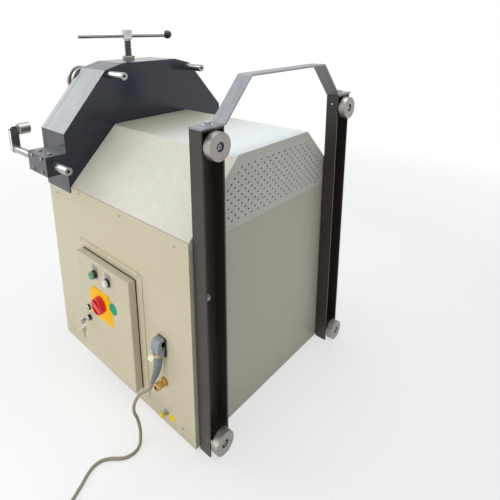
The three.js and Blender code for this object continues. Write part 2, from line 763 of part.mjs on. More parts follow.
function barBall() {
  const ball = new THREE.SphereGeometry(BALL / 2, 16, 8)
    .rotateZ(Math.PI / 2).translate(BAR_BALL_REACH, 0, 0);
  return cut(ball, rodX(BAR + SEAT * 2, 0, BAR_BALL_REACH - BALL / 2 + BAR_INTO_BALL + SEAT));
}

const press = groupAt(0, 0, UPPER_Z);
add(press, 'press_slide', pressSlide(), steel);
add(press, 'shaft_upper', rollShaft(slideRear), steel);
add(press, 'roller_upper', rollerSolid(rollerBack, NOSE + RUN * 2), steel);
const screw = groupAt(0, screwY, 0);
screw.rotation.z = THREE.MathUtils.degToRad(BAR_TURN);
add(screw, 'pressure_screw', pressureScrew(), steel);
add(screw, 'tommy_bar', tommyBar(), steel, 0, 0, SCREW_TOP + BAR_LIFT);
add(screw, 'bar_ball', barBall(), black, 0, 0, SCREW_TOP + BAR_LIFT);

// Drive: worm gearbox behind the head, with its motor hanging below

const gearboxFoot = pinionZ - GEARBOX_FLANGE / 2 - GEARBOX_RIM;

function gearboxSolid() {
  const front = HEAD_REAR + SEAT;
  const flange = rodY(GEARBOX_FLANGE, front, front + 14, 0, pinionZ, 20);
  const bevel = 18;
  const [w, z0, z1] = [GEARBOX_HALF, gearboxFoot, ROOF_TOP - GEARBOX_HEADROOM];
  const body = slabXZ(shapeOf(mirrored([
    [w - bevel, z0], [w, z0 + bevel], [w, z1 - bevel], [w - bevel, z1],
  ])), front + 13, front + GEARBOX_LONG);
  return join(flange, body);
}

function motorSolid() {
  const top = gearboxFoot - SEAT;
  const foot = top - MOTOR_LONG;
  const r = MOTOR / 2;
  const body = r - MOTOR_FIN_INSET;
  const flange = r + MOTOR_FLANGE_PROUD;
  return turnedZ([
    [0, foot], [r - MOTOR_COWL_ROUND, foot], [r, foot + MOTOR_COWL_ROUND],
    [r, foot + MOTOR_FAN_COWL], [body, foot + MOTOR_FAN_COWL + MOTOR_FIN_INSET],
    [body, top - MOTOR_FLANGE_DEEP], [flange, top - MOTOR_FLANGE_DEEP], [flange, top], [0, top],
  ], 18);
}

add(part, 'worm_gearbox', gearboxSolid(), castIron);
add(part, 'drive_motor', motorSolid(), castIron,
  0, HEAD_REAR + MOTOR_STAND + MOTOR_FLANGE_PROUD + MOTOR / 2);

// Side guides: a bored block on each flank of the head, a sliding bar with an arm, and a roller

const armFront = HEAD_FRONT - GUIDE_BAR_REACH;
const guideRollerX = -GUIDE_ROLLER_LENGTH - GUIDE_ARM_THICK;

function guideBlock(side) {
  const [x0, x1] = side > 0
    ? [HEAD_HALF + SEAT, GUIDE_X + GUIDE_BLOCK_OUT]
    : [-GUIDE_X - GUIDE_BLOCK_OUT, -HEAD_HALF - SEAT];
  const [z0, z1] = [GUIDE_Z - GUIDE_BLOCK_TALL / 2, GUIDE_Z + GUIDE_BLOCK_TALL / 2];
  return cut(
    block(x0, x1, PLATE_BACK, HEAD_REAR, z0, z1),
    rodY(PEG + RUN * 2, PLATE_BACK - 1, HEAD_REAR + 1, side * GUIDE_X, GUIDE_Z, 20),
  );
}

function guideBar(side) {
  const bar = pegSolid(armFront, HEAD_REAR + PEG_LENGTH);
  const w = GUIDE_ARM_WIDTH / 2;
  const arm = block(-w, w, armFront - GUIDE_ARM_THICK, armFront + 1, -w, GUIDE_ARM_LENGTH);
  const pin = rodX(GUIDE_PIN, side > 0 ? guideRollerX : w - 1, side > 0 ? 1 - w : -guideRollerX,
    armFront - GUIDE_ARM_THICK / 2, GUIDE_ARM_LENGTH - w, 16);
  return join(bar, arm, pin);
}

function guideRoller(side) {
  const [r, bore] = [GUIDE_ROLLER / 2, GUIDE_PIN / 2 + RUN];
  const from = GUIDE_ARM_WIDTH / 2 + SEAT;
  const to = from + GUIDE_ROLLER_LENGTH - 4;
  const [x0, x1] = side > 0 ? [-to, -from] : [from, to];
  return turnedX([
    [bore, x0], [r - 1.5, x0], [r, x0 + 1.5], [r, x1 - 1.5], [r - 1.5, x1], [bore, x1], [bore, x0],
  ], 16);
}

for (const [name, side] of [['left', -1], ['right', 1]]) {
  add(part, `guide_block_${name}`, guideBlock(side), charcoal);
  const guide = groupAt(side * GUIDE_X, 0, GUIDE_Z);
  add(guide, `guide_bar_${name}`, guideBar(side), steel);
  add(guide, `guide_roller_${name}`, guideRoller(side), steel,
    0, armFront - GUIDE_ARM_THICK / 2, GUIDE_ARM_LENGTH - GUIDE_ARM_WIDTH / 2);
}

// Rear rest frame: two channel posts, four rest discs and the folded strap handle

const webFace = REAR + POST_GAP;
const postEdge = webFace + POST_DEEP;
const discBack = postEdge + DISC_STAND;
const discFace = discBack + DISC_THICK;
const postCentre = POST_OUTER - POST_WIDE / 2;

// In its own frame: x across the post, y from the rear panel, z up
function restPost() {
  const [w, t] = [POST_WIDE / 2, POST_SHEET];
  const channel = slabXY(shapeOf([
    [-w, webFace], [w, webFace], [w, postEdge], [w - t, postEdge],
    [w - t, webFace + t], [t - w, webFace + t], [t - w, postEdge], [-w, postEdge],
  ]), POST_FOOT, POST_TOP);
  const cap = block(-w + 1, w - 1, webFace + 1, postEdge, POST_TOP - POST_CAP, POST_TOP);
  const spacers = [DISC_LOW, DISC_HIGH].map((z) => rodY(
    DISC_SPACER - (z === DISC_LOW ? 4 : 0), webFace + 1, discBack - SEAT, 0, z, 12));
  const pads = [DISC_LOW, (DISC_LOW + REAR_SEAM) / 2, REAR_SEAM - POST_PAD].map((z) => rodY(
    POST_PAD, REAR + SEAT, webFace + 1, 0, z, 12));
  return join(channel, cap, ...spacers, ...pads);
}

function restDisc() {
  const [r, sink, c] = [DISC / 2, DISC_SINK / 2, DISC_CHAMFER];
  return turnedY([
    [0, discBack], [r - c, discBack], [r, discBack + c], [r, discFace - c], [r - c, discFace],
    [sink, discFace], [sink, discFace - DISC_SINK_DEPTH], [0, discFace - DISC_SINK_DEPTH],
  ]);
}

function strapHandle() {
  const tab = POST_TOP + SEAT + STRAP_THICK;
  const top = [
    [-STRAP_TAB_OUTER, tab], [-STRAP_TAB_INNER, tab], [-STRAP_TOP_HALF, STRAP_TOP],
    [STRAP_TOP_HALF, STRAP_TOP], [STRAP_TAB_INNER, tab], [STRAP_TAB_OUTER, tab],
  ];
  const shape = shapeOf([...top, ...beside(top, STRAP_THICK).reverse()]);
  return slabXZ(shape, webFace, webFace + STRAP_WIDE);
}

for (const [name, side] of [['left', -1], ['right', 1]]) {
  add(part, `rest_post_${name}`, restPost(), black, side * postCentre);
  for (const [level, z] of [['low', DISC_LOW], ['high', DISC_HIGH]]) {
    add(part, `rest_disc_${level}_${name}`, restDisc(), steel, side * postCentre, 0, z);
  }
}
add(part, 'strap_handle', strapHandle(), zinc);

// Control box: flanged tub, mounting plate with devices, door with its switches

function roundedYZ(y0, y1, z0, z1, radius) {
  const shape = new THREE.Shape();
  shape.moveTo(y0 + radius, z0);
  shape.lineTo(y1 - radius, z0);
  shape.absarc(y1 - radius, z0 + radius, radius, -Math.PI / 2, 0, false);
  shape.lineTo(y1, z1 - radius);
  shape.absarc(y1 - radius, z1 - radius, radius, 0, Math.PI / 2, false);
  shape.lineTo(y0 + radius, z1);
  shape.absarc(y0 + radius, z1 - radius, radius, Math.PI / 2, Math.PI, false);
  shape.lineTo(y0, z0 + radius);
  shape.absarc(y0 + radius, z0 + radius, radius, Math.PI, 1.5 * Math.PI, false);
  return shape;
}

const tubBack = HALF_WIDTH - BOX_DEEP;
const flangeFace = HALF_WIDTH + SEAT + DOOR_SHEET;

function controlBox() {
  const flange = slabYZ(roundedYZ(
    FLANGE_REAR - FLANGE_WIDE, FLANGE_REAR, FLANGE_FOOT, FLANGE_FOOT + FLANGE_TALL, FLANGE_RADIUS),
    HALF_WIDTH + SEAT, flangeFace);
  const tub = block(tubBack, doorBack + BOX_RIM, tubFront, tubRear, tubFoot, tubTop);
  const t = DOOR_SHEET;
  const room = block(tubBack + t, doorBack + BOX_RIM + 1,
    tubFront + t, tubRear - t, tubFoot + t, tubTop - t);
  return cut(join(flange, tub), room);
}

// Sheet with two rails, and the rows of terminals and contactors clipped on them
function mountingPlate() {
  const x = tubBack + DOOR_SHEET + SEAT;
  const [y0, y1] = [tubFront + PLATE_INSET, tubRear - PLATE_INSET];
  const [z0, z1] = [tubFoot + PLATE_INSET, tubTop - PLATE_INSET];
  const middle = (y0 + y1) / 2;
  const rails = [];
  for (const [share, wide] of [[0.3, TERMINAL_ROW_WIDE], [0.72, CONTACTOR_ROW_WIDE]]) {
    const z = z0 + (z1 - z0) * share;
    const row = (from, to, tall, half) => block(
      x + from, x + to, middle - half, middle + half, z - tall / 2, z + tall / 2);
    rails.push(
      row(SHEET - 1, RAIL_DEEP, RAIL_TALL, (y1 - y0) / 2 - RAIL_INSET),
      row(RAIL_DEEP - 1, DEVICE_DEEP, DEVICE_TALL, wide / 2),
      row(DEVICE_DEEP - 1, DEVICE_NOSE_DEEP, DEVICE_NOSE_TALL, wide / 2),
    );
  }
  return join(block(x, x + SHEET, y0, y1, z0, z1), ...rails);
}

add(part, 'control_box', controlBox(), beige);
add(part, 'mounting_plate', mountingPlate(), zinc);

const doorFront = DOOR_REAR - DOOR_WIDE;
const doorTop = DOOR_FOOT + DOOR_TALL;

function doorSolid() {
  const t = DOOR_SHEET;
  const shell = cut(
    block(doorBack, DOOR_FACE, doorFront, DOOR_REAR, DOOR_FOOT, doorTop),
    block(doorBack - 1, DOOR_FACE - t, doorFront + t, DOOR_REAR - t, DOOR_FOOT + t, doorTop - t),
  );
  const legends = [BUTTON_Y, LAMP_Y].map((y) => block(
    DOOR_FACE - 1, DOOR_FACE + LEGEND_THICK, y - LEGEND_WIDE / 2, y + LEGEND_WIDE / 2,
    BUTTON_Z + LEGEND_LIFT - LEGEND_TALL / 2, BUTTON_Z + LEGEND_LIFT + LEGEND_TALL / 2));
  const bezels = [BUTTON_Y, LAMP_Y].map((y) => rodX(
    BEZEL, DOOR_FACE - 1, DOOR_FACE + BEZEL_TALL, y, BUTTON_Z));
  const locks = [LOCK_HIGH_Z, LOCK_LOW_Z].map((z) => rodX(
    LOCK, DOOR_FACE - 1, DOOR_FACE + LOCK_TALL, LOCK_Y, z, 16));
  const wells = [BUTTON_Y, LAMP_Y].map((y) => rodX(
    BUTTON + RUN * 2, DOOR_FACE + LEGEND_THICK, DOOR_FACE + BEZEL_TALL + 1, y, BUTTON_Z));
  const keyway = rodX(KEY_PLUG + RUN * 2, DOOR_FACE + 2, DOOR_FACE + LOCK_TALL + 1, LOCK_Y, LOCK_LOW_Z, 12);
  const half = SWITCH_PLATE / 2;
  const switchPlate = block(DOOR_FACE - 1, DOOR_FACE + SWITCH_PLATE_THICK,
    SWITCH_Y - half, SWITCH_Y + half, SWITCH_Z - half, SWITCH_Z + half);
  return cut(join(shell, ...legends, ...bezels, ...locks, switchPlate), ...wells, keyway);
}

function startButton() {
  const foot = DOOR_FACE + LEGEND_THICK + BUTTON_TRAVEL + SEAT;
  const top = DOOR_FACE + BEZEL_TALL + BUTTON_PROUD;
  const r = BUTTON / 2;
  return turnedX([[0, foot], [r, foot], [r, top - 1.5], [r - 1.5, top], [0, top]], 20);
}

function pilotLamp() {
  const foot = DOOR_FACE + LEGEND_THICK + SEAT;
  const top = DOOR_FACE + BEZEL_TALL;
  const r = BUTTON / 2;
  const dome = [];
  for (let i = 0; i <= 5; i += 1) {
    const a = (i / 5) * (Math.PI / 2);
    dome.push([r * Math.cos(a), top + 3 + 8 * Math.sin(a)]);
  }
  return turnedX([[0, foot], [r, foot], ...dome.slice(0, 5), [0, top + 11]], 20);
}

// A round dial whose grip is left standing between two recesses
function mainSwitchKnob() {
  const [r, w] = [KNOB / 2, KNOB_GRIP_WIDE / 2];
  const dial = turnedX([
    [0, 0], [r, 0], [r, KNOB_TALL - KNOB_BEVEL], [r - KNOB_BEVEL, KNOB_TALL], [0, KNOB_TALL],
  ]);
  const room = cut(
    rodX(2 * (r - KNOB_RIM), KNOB_TALL - KNOB_RECESS, KNOB_TALL + 1, 0, 0, 20),
    block(0, KNOB_TALL + 2, -r, r, -w, w).rotateX(THREE.MathUtils.degToRad(KNOB_GRIP_TURN)),
  );
  return cut(dial, room);
}

function doorKey() {
  const foot = DOOR_FACE + 2 + SEAT;
  const plug = rodX(KEY_PLUG, foot, DOOR_FACE + LOCK_TALL + 1, 0, 0, 12);
  const h = KEY_THICK / 2;
  const blade = block(DOOR_FACE + LOCK_TALL, DOOR_FACE + LOCK_TALL + KEY_LONG, -h, h, -4, 4);
  const bow = block(DOOR_FACE + LOCK_TALL + 10, DOOR_FACE + LOCK_TALL + KEY_LONG,
    -h, h, -KEY_BOW / 2, KEY_BOW / 2);
  return join(plug, blade, bow);
}

add(part, 'box_door', doorSolid(), beige);
add(part, 'start_button', startButton(), { color: 0x14964a, roughness: 0.4, metalness: 0 },
  0, BUTTON_Y, BUTTON_Z);
add(part, 'pilot_lamp', pilotLamp(), { color: 0xe6e6e0, roughness: 0.3, metalness: 0 },
  0, LAMP_Y, BUTTON_Z);
add(part, 'main_switch_knob', mainSwitchKnob(), { color: 0xc8283c, roughness: 0.4, metalness: 0 },
  DOOR_FACE + SWITCH_PLATE_THICK + SEAT, SWITCH_Y, SWITCH_Z);
add(part, 'door_key', doorKey(), steel, 0, LOCK_Y, LOCK_LOW_Z);

// Outlets low on the control side: connector with its cable hood, empty gland, earth stud

const fromWall = ([x, y, z]) => new THREE.Vector3(HALF_WIDTH + x, y, z);
const bootTop = fromWall(BOOT_TOP);
const bootAxis = fromWall(CABLE_ROUTE[0]).sub(bootTop);
const bootLong = bootAxis.length() - SEAT * 2;
const bootTurn = new THREE.Quaternion().setFromUnitVectors(
  new THREE.Vector3(0, 1, 0), bootAxis.clone().normalize());
const panelFace = HALF_WIDTH + SEAT;
const housingFace = panelFace + CONNECTOR_FLANGE + CONNECTOR_HOUSING;

function connectorBase() {
  const w = CONNECTOR_WIDE / 2;
  const h = CONNECTOR_TALL / 2;
  const flange = slabYZ(roundedYZ(-w, w, -h, h, 5), panelFace, panelFace + CONNECTOR_FLANGE);
  const housing = block(panelFace + 1, housingFace, 3 - w, w - 3, h - 6 - HOOD_PLUG_TALL, h - 6);
  const shank = block(HALF_WIDTH - 14, panelFace + 1, -12, 12, -16, 16);
  return join(flange, housing, shank);
}

// The hood closes over the housing, and its cable entry leans out and points down
function connectorHood() {
  const w = CONNECTOR_WIDE / 2;
  const top = CONNECTOR_TALL / 2;
  const [x0, x1] = [panelFace + CONNECTOR_FLANGE + SEAT, panelFace + CONNECTOR_FLANGE + HOOD_PLUG_OUT];
  const foot = top - 2 - HOOD_PLUG_TALL;
  const neck = HOOD_NECK - CONNECTOR_Z;
  const body = slabXZ(shapeOf([
    [x0, foot - 4], [x0 + 2, neck], [x1 - 4, neck], [x1, foot + 4], [x1, top - 7], [x1 - 7, top],
    [x0, top],
  ]), 3 - w, w - 3);
  const room = block(x0 - 1, housingFace + SEAT, 3 - w - SEAT, w - 3 + SEAT,
    top - 6 - HOOD_PLUG_TALL - SEAT, top - 6 + SEAT);
  const r = BOOT_ROOT / 2;
  const nut = turnedY([[0, -ENTRY_NUT], [r, -ENTRY_NUT], [r, -2 - SEAT], [r - 2, -SEAT], [0, -SEAT]], 12)
    .applyQuaternion(bootTurn)
    .translate(bootTop.x, bootTop.y - OUTLET_Y, bootTop.z - CONNECTOR_Z);
  return cut(join(body, nut), room);
}

function cableGland() {
  const [r, bore] = [GLAND_SHANK / 2, GLAND_BORE / 2];
  return turnedX([
    [0, HALF_WIDTH - 12], [r - RUN, HALF_WIDTH - 12], [r - RUN, panelFace], [r + 4, panelFace],
    [r + 4, panelFace + 9], [r + 1, panelFace + 11], [r + 1, panelFace + 15], [r + 3, panelFace + 17],
    [r + 3, panelFace + GLAND_LONG - 6], [r, panelFace + GLAND_LONG], [bore, panelFace + GLAND_LONG],
    [bore, panelFace + 8], [0, panelFace + 8],
  ], 12);
}

add(part, 'connector_base', connectorBase(), black, 0, OUTLET_Y, CONNECTOR_Z);
add(part, 'connector_hood', connectorHood(), castIron, 0, OUTLET_Y, CONNECTOR_Z);
add(part, 'cable_gland', cableGland(), { color: 0xc8963c, roughness: 0.4, metalness: 0.9 },
  0, OUTLET_Y, GLAND_Z);

// Cable: strain relief boot, free stretch, and the coil that leads into the foot switch

function tube(points, sides, steps) {
  const path = new THREE.CatmullRomCurve3(points, false, 'centripetal');
  return new THREE.ExtrudeGeometry(shapeOf(ring(CABLE, sides)), {
    steps, bevelEnabled: false, extrudePath: path,
  });
}

// Ribbed and tapered, from the entry's nut to the free cable
function bootSolid() {
  const collar = 8;
  const pitch = (bootLong - collar) / (BOOT_RIBS + 1);
  const profile = [[0, 0], [BOOT_ROOT / 2, 0], [BOOT_ROOT / 2, collar]];
  for (let i = 0; i < BOOT_RIBS; i += 1) {
    const y = collar + (i + 1) * pitch;
    const share = ((i + 1) / (BOOT_RIBS + 1)) ** BOOT_TAPER;
    const r = BOOT_ROOT / 2 - ((BOOT_ROOT - CABLE) / 2 - 1.5) * share;
    profile.push([r - 1.5, y - BOOT_RIB], [r, y - BOOT_RIB + 0.5], [r, y]);
  }
  profile.push([CABLE / 2 + 0.6, bootLong], [0, bootLong]);
  return turnedY(profile, 12).applyQuaternion(bootTurn);
}

const coilTurn = THREE.MathUtils.degToRad(COIL_START);
const coilOut = new THREE.Vector3(-Math.sin(coilTurn), Math.cos(coilTurn), 0);

// Two layers: the turns spiral in on the floor, climb half a turn, and spiral out on top
function coilPoints() {
  const points = [];
  const climb = 0.25;
  for (let i = 0; i <= COIL_TURNS * COIL_STEPS; i += 1) {
    const turn = i / COIL_STEPS;
    const fromMiddle = Math.abs(turn - COIL_TURNS / 2);
    const radius = COIL_RADIUS - COIL_PITCH * (COIL_TURNS / 2 - fromMiddle);
    const rise = THREE.MathUtils.smoothstep(turn, COIL_TURNS / 2 - climb, COIL_TURNS / 2 + climb);
    const a = coilTurn + turn * 2 * Math.PI;
    points.push(fromWall([
      COIL_CENTRE[0] + radius * Math.cos(a), COIL_CENTRE[1] + radius * Math.sin(a),
      CABLE / 2 + rise * COIL_RISE,
    ]));
  }
  const first = points[0].clone().addScaledVector(coilOut, -CABLE);
  const last = points[points.length - 1].clone().addScaledVector(coilOut, CABLE);
  return [first, ...points, last];
}

function leastSelfGap(points) {
  let least = Infinity;
  for (let i = 0; i < points.length; i += 1) {
    for (let j = i + COIL_STEPS / 2; j < points.length; j += 1) {
      least = Math.min(least, points[i].distanceTo(points[j]) - CABLE);
    }
  }
  return least;
}

const coil = coilPoints();
console.log(`least gap between the coil's turns: ${leastSelfGap(coil).toFixed(2)} mm`);

const cableLook = { color: 0x8c8676, roughness: 0.6, metalness: 0 };
const route = CABLE_ROUTE.map(fromWall);
route[route.length - 1].copy(coil[0]).addScaledVector(coilOut, -SEAT);
const coilEnd = coil[coil.length - 1].clone().addScaledVector(coilOut, SEAT);

add(part, 'strain_relief', bootSolid(), { color: 0x70777c, roughness: 0.6, metalness: 0 },
  ...bootTop);
add(part, 'cable', tube(route, 8, 30), cableLook);
add(part, 'cable_coil', tube(coil, 6, COIL_TURNS * COIL_STEPS + 2), cableLook);

// Foot switch: base with a rear housing and a cable boot, and two sprung treadles. Its own frame
// starts at the cable's end, with +X towards the toes.

const pedalTurn = Math.atan2(coilOut.y, coilOut.x);
const pedal = groupAt(coilEnd.x, coilEnd.y, 0);
pedal.rotation.z = pedalTurn;
const rearFace = PEDAL_BOOT + PEDAL_GLAND;
const pivotX = rearFace + PEDAL_REAR_DEEP + TREADLE_BARREL / 2 + SEAT;
const treadleY = PEDAL_WIDE / 4;

function pedalBase() {
  const half = PEDAL_WIDE / 2;
  const plate = block(rearFace, rearFace + PEDAL_DEEP, -half, half, 0, PEDAL_BASE);
  const housing = slabXZ(shapeOf([
    [rearFace, PEDAL_BASE - 1], [rearFace + PEDAL_REAR_DEEP, PEDAL_BASE - 1],
    [rearFace + PEDAL_REAR_DEEP, PEDAL_REAR_TALL], [rearFace + 10, PEDAL_REAR_TALL],
    [rearFace, PEDAL_REAR_TALL - 14],
  ]), -half, half);
  const ears = [-half, -half + 2 * treadleY - EAR_THICK / 2, half - EAR_THICK].map((y) => block(
    pivotX - TREADLE_BARREL / 2 - 1, pivotX + TREADLE_BARREL, y, y + EAR_THICK,
    PEDAL_BASE - 1, TREADLE_Z + TREADLE_BARREL / 2));
  const boot = turnedX([
    [0, 0], [5.4, 0], [5.7, 10], [7, 20], [9, 32], [9.5, PEDAL_BOOT], [12, PEDAL_BOOT],
    [12, rearFace + 1], [0, rearFace + 1],
  ], 12).translate(0, 0, coilEnd.z);
  return join(plate, housing, ...ears, boot);
}

function treadle() {
  const [w, t] = [TREADLE_WIDE / 2, TREADLE_THICK];
  const barrel = rodY(TREADLE_BARREL, -w, w, 0, 0, 12);
  const pad = slabXZ(shapeOf([
    [0, -t / 2], [TREADLE_LONG, -t / 2], [TREADLE_LONG + 4, t / 2 + 2], [TREADLE_LONG, t / 2 + 4],
    [TREADLE_LONG - 4, t / 2], [0, t / 2],
  ]), -w, w);
  return join(barrel, pad);
}

add(pedal, 'pedal_base', pedalBase(), black);
for (const [name, side] of [['left', 1], ['right', -1]]) {
  add(pedal, `treadle_${name}`, treadle(), steel, pivotX, side * treadleY, TREADLE_Z);
}

export default part;
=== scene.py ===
"""Looks of a three-roller ring roller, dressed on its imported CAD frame. Metres, +Z up."""

import json
import math

import bmesh
import bpy
from mathutils import Matrix, Vector


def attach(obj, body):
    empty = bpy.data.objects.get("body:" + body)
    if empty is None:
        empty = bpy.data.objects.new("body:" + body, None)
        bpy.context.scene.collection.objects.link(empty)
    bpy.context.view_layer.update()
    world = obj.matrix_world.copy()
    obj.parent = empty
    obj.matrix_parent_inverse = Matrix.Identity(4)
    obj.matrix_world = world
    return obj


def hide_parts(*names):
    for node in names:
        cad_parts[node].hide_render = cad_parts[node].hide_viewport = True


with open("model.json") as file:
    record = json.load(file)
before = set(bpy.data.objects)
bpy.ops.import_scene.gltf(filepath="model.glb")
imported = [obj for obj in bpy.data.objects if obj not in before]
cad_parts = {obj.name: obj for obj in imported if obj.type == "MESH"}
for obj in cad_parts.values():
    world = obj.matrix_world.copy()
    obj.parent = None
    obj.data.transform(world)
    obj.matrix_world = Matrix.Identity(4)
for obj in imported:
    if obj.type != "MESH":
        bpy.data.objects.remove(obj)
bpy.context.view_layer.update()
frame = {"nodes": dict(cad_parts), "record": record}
nodes = frame["nodes"]
scene = bpy.context.scene

# Camera, at the photograph's angle. Its framing sits below the lens's own centre, so it has a
# vertical shift.

PICTURE = 500
CAMERA_PLACE = Vector((1.0434, 1.1634, 1.2419))
HEADING = math.radians(227.415)
DOWN = math.radians(14.884)
ROLL = math.radians(-0.575)
FOCAL_PIXELS = 427.43
CENTRE_PIXEL = (230.4, 138.0)

forward = Vector((
    math.sin(HEADING) * math.cos(DOWN), math.cos(HEADING) * math.cos(DOWN), -math.sin(DOWN)))
level = forward.cross(Vector((0, 0, 1))).normalized()
upright = level.cross(forward)
right = level * math.cos(ROLL) + upright * math.sin(ROLL)
up = upright * math.cos(ROLL) - level * math.sin(ROLL)

camera_data = bpy.data.cameras.new("camera")
camera_data.sensor_width = 36
camera_data.lens = FOCAL_PIXELS / PICTURE * camera_data.sensor_width
camera_data.shift_x = (PICTURE / 2 - CENTRE_PIXEL[0]) / PICTURE
camera_data.shift_y = (CENTRE_PIXEL[1] - PICTURE / 2) / PICTURE
camera = bpy.data.objects.new("camera", camera_data)
scene.collection.objects.link(camera)
camera_turn = Matrix((right, up, -forward)).transposed().to_4x4()
camera.matrix_world = Matrix.Translation(CAMERA_PLACE) @ camera_turn
scene.camera = camera

# Cable: the route's points are those of the CAD model, and the coil's turns come from its formula.
# The first number of each place is measured from the side panel.

WALL = 380
CABLE = 0.010
ROUTE = [
    (46.5, 262, 190), (51.6, 261.2, 177), (56.5, 247, 160), (62, 231, 146), (73, 220, 130),
    (84, 217.5, 113), (89, 218, 94), (86, 217.5, 74), (80, 219, 54), (79, 228, 27),
    (89, 245, 11.5), (106.4, 263, 6.1), (122, 270, 5), (139.3, 270.6, 5), (156.3, 265, 5),
    (170, 255, 5), (189, 234.5, 5), (211.7, 220, 5), (233.6, 217.6, 5), (258, 225, 5),
    (283, 238.5, 5), (308, 250.5, 5), (335, 263.5, 5), (365, 278.5, 5),
]
COIL_CENTRE = (0.7455, 0.352)
COIL_START = math.radians(-63.4)
COIL_RADIUS = 0.066
COIL_TURNS = 4
COIL_PITCH = 0.011
COIL_RISE = 0.0108
COIL_CLIMB = 0.25  # turns on each side of the middle in which the cable climbs a layer
COIL_STEPS = 48


def coil_points():
    points = []
    half = COIL_TURNS / 2
    for i in range(COIL_TURNS * COIL_STEPS + 1):
        turn = i / COIL_STEPS
        radius = COIL_RADIUS - COIL_PITCH * (half - abs(turn - half))
        t = min(max((turn - half + COIL_CLIMB) / (2 * COIL_CLIMB), 0), 1)
        rise = t * t * (3 - 2 * t)
        angle = COIL_START + turn * 2 * math.pi
        points.append(Vector((
            COIL_CENTRE[0] + radius * math.cos(angle), COIL_CENTRE[1] + radius * math.sin(angle),
            CABLE / 2 + rise * COIL_RISE)))
    return points


def smooth_path(points, per_span=6):
    """A centripetal curve through all the points."""
    ends = [points[0] * 2 - points[1], *points, points[-1] * 2 - points[-2]]
    path = []
    for p0, p1, p2, p3 in zip(ends, ends[1:], ends[2:], ends[3:]):
        t0 = 0
        t1 = t0 + math.sqrt((p1 - p0).length)
        t2 = t1 + math.sqrt((p2 - p1).length)
        t3 = t2 + math.sqrt((p3 - p2).length)
        for i in range(per_span):
            t = t1 + (t2 - t1) * i / per_span
            a1 = p0.lerp(p1, (t - t0) / (t1 - t0))
            a2 = p1.lerp(p2, (t - t1) / (t2 - t1))
            a3 = p2.lerp(p3, (t - t2) / (t3 - t2))
            b1 = a1.lerp(a2, (t - t0) / (t2 - t0))
            b2 = a2.lerp(a3, (t - t1) / (t3 - t1))
            path.append(b1.lerp(b2, (t - t1) / (t2 - t1)))
    path.append(points[-1].copy())
    return path


coil = coil_points()
coil_way = Vector((-math.sin(COIL_START), math.cos(COIL_START), 0))
coil_in = coil[0] - coil_way * CABLE
coil_out = coil[-1] + coil_way * CABLE
route = [Vector((WALL + x, y, z)) / 1000 for x, y, z in ROUTE]
cable_path = smooth_path(route + [coil_in]) + coil + [coil_out]
cable_length = sum((b - a).length for a, b in zip(cable_path, cable_path[1:]))


def cable_curve():
    curve = bpy.data.curves.new("cable_sheath", "CURVE")
    curve.dimensions = "3D"
    curve.bevel_depth = CABLE / 2
    curve.bevel_resolution = 4
    curve.use_fill_caps = True
    line = curve.splines.new("POLY")
    line.points.add(len(cable_path) - 1)
    for point, place in zip(line.points, cable_path):
        point.co = (*place, 1)
    line.use_smooth = True
    obj = bpy.data.objects.new("cable_sheath", curve)
    scene.collection.objects.link(obj)
    return obj


# Node materials

def linear(color):
    """sRGB values from 0 to 255 as linear ones."""
    def one(c):
        c /= 255
        return c / 12.92 if c <= 0.04045 else ((c + 0.055) / 1.055) ** 2.4
    return (*(one(c) for c in color), 1)


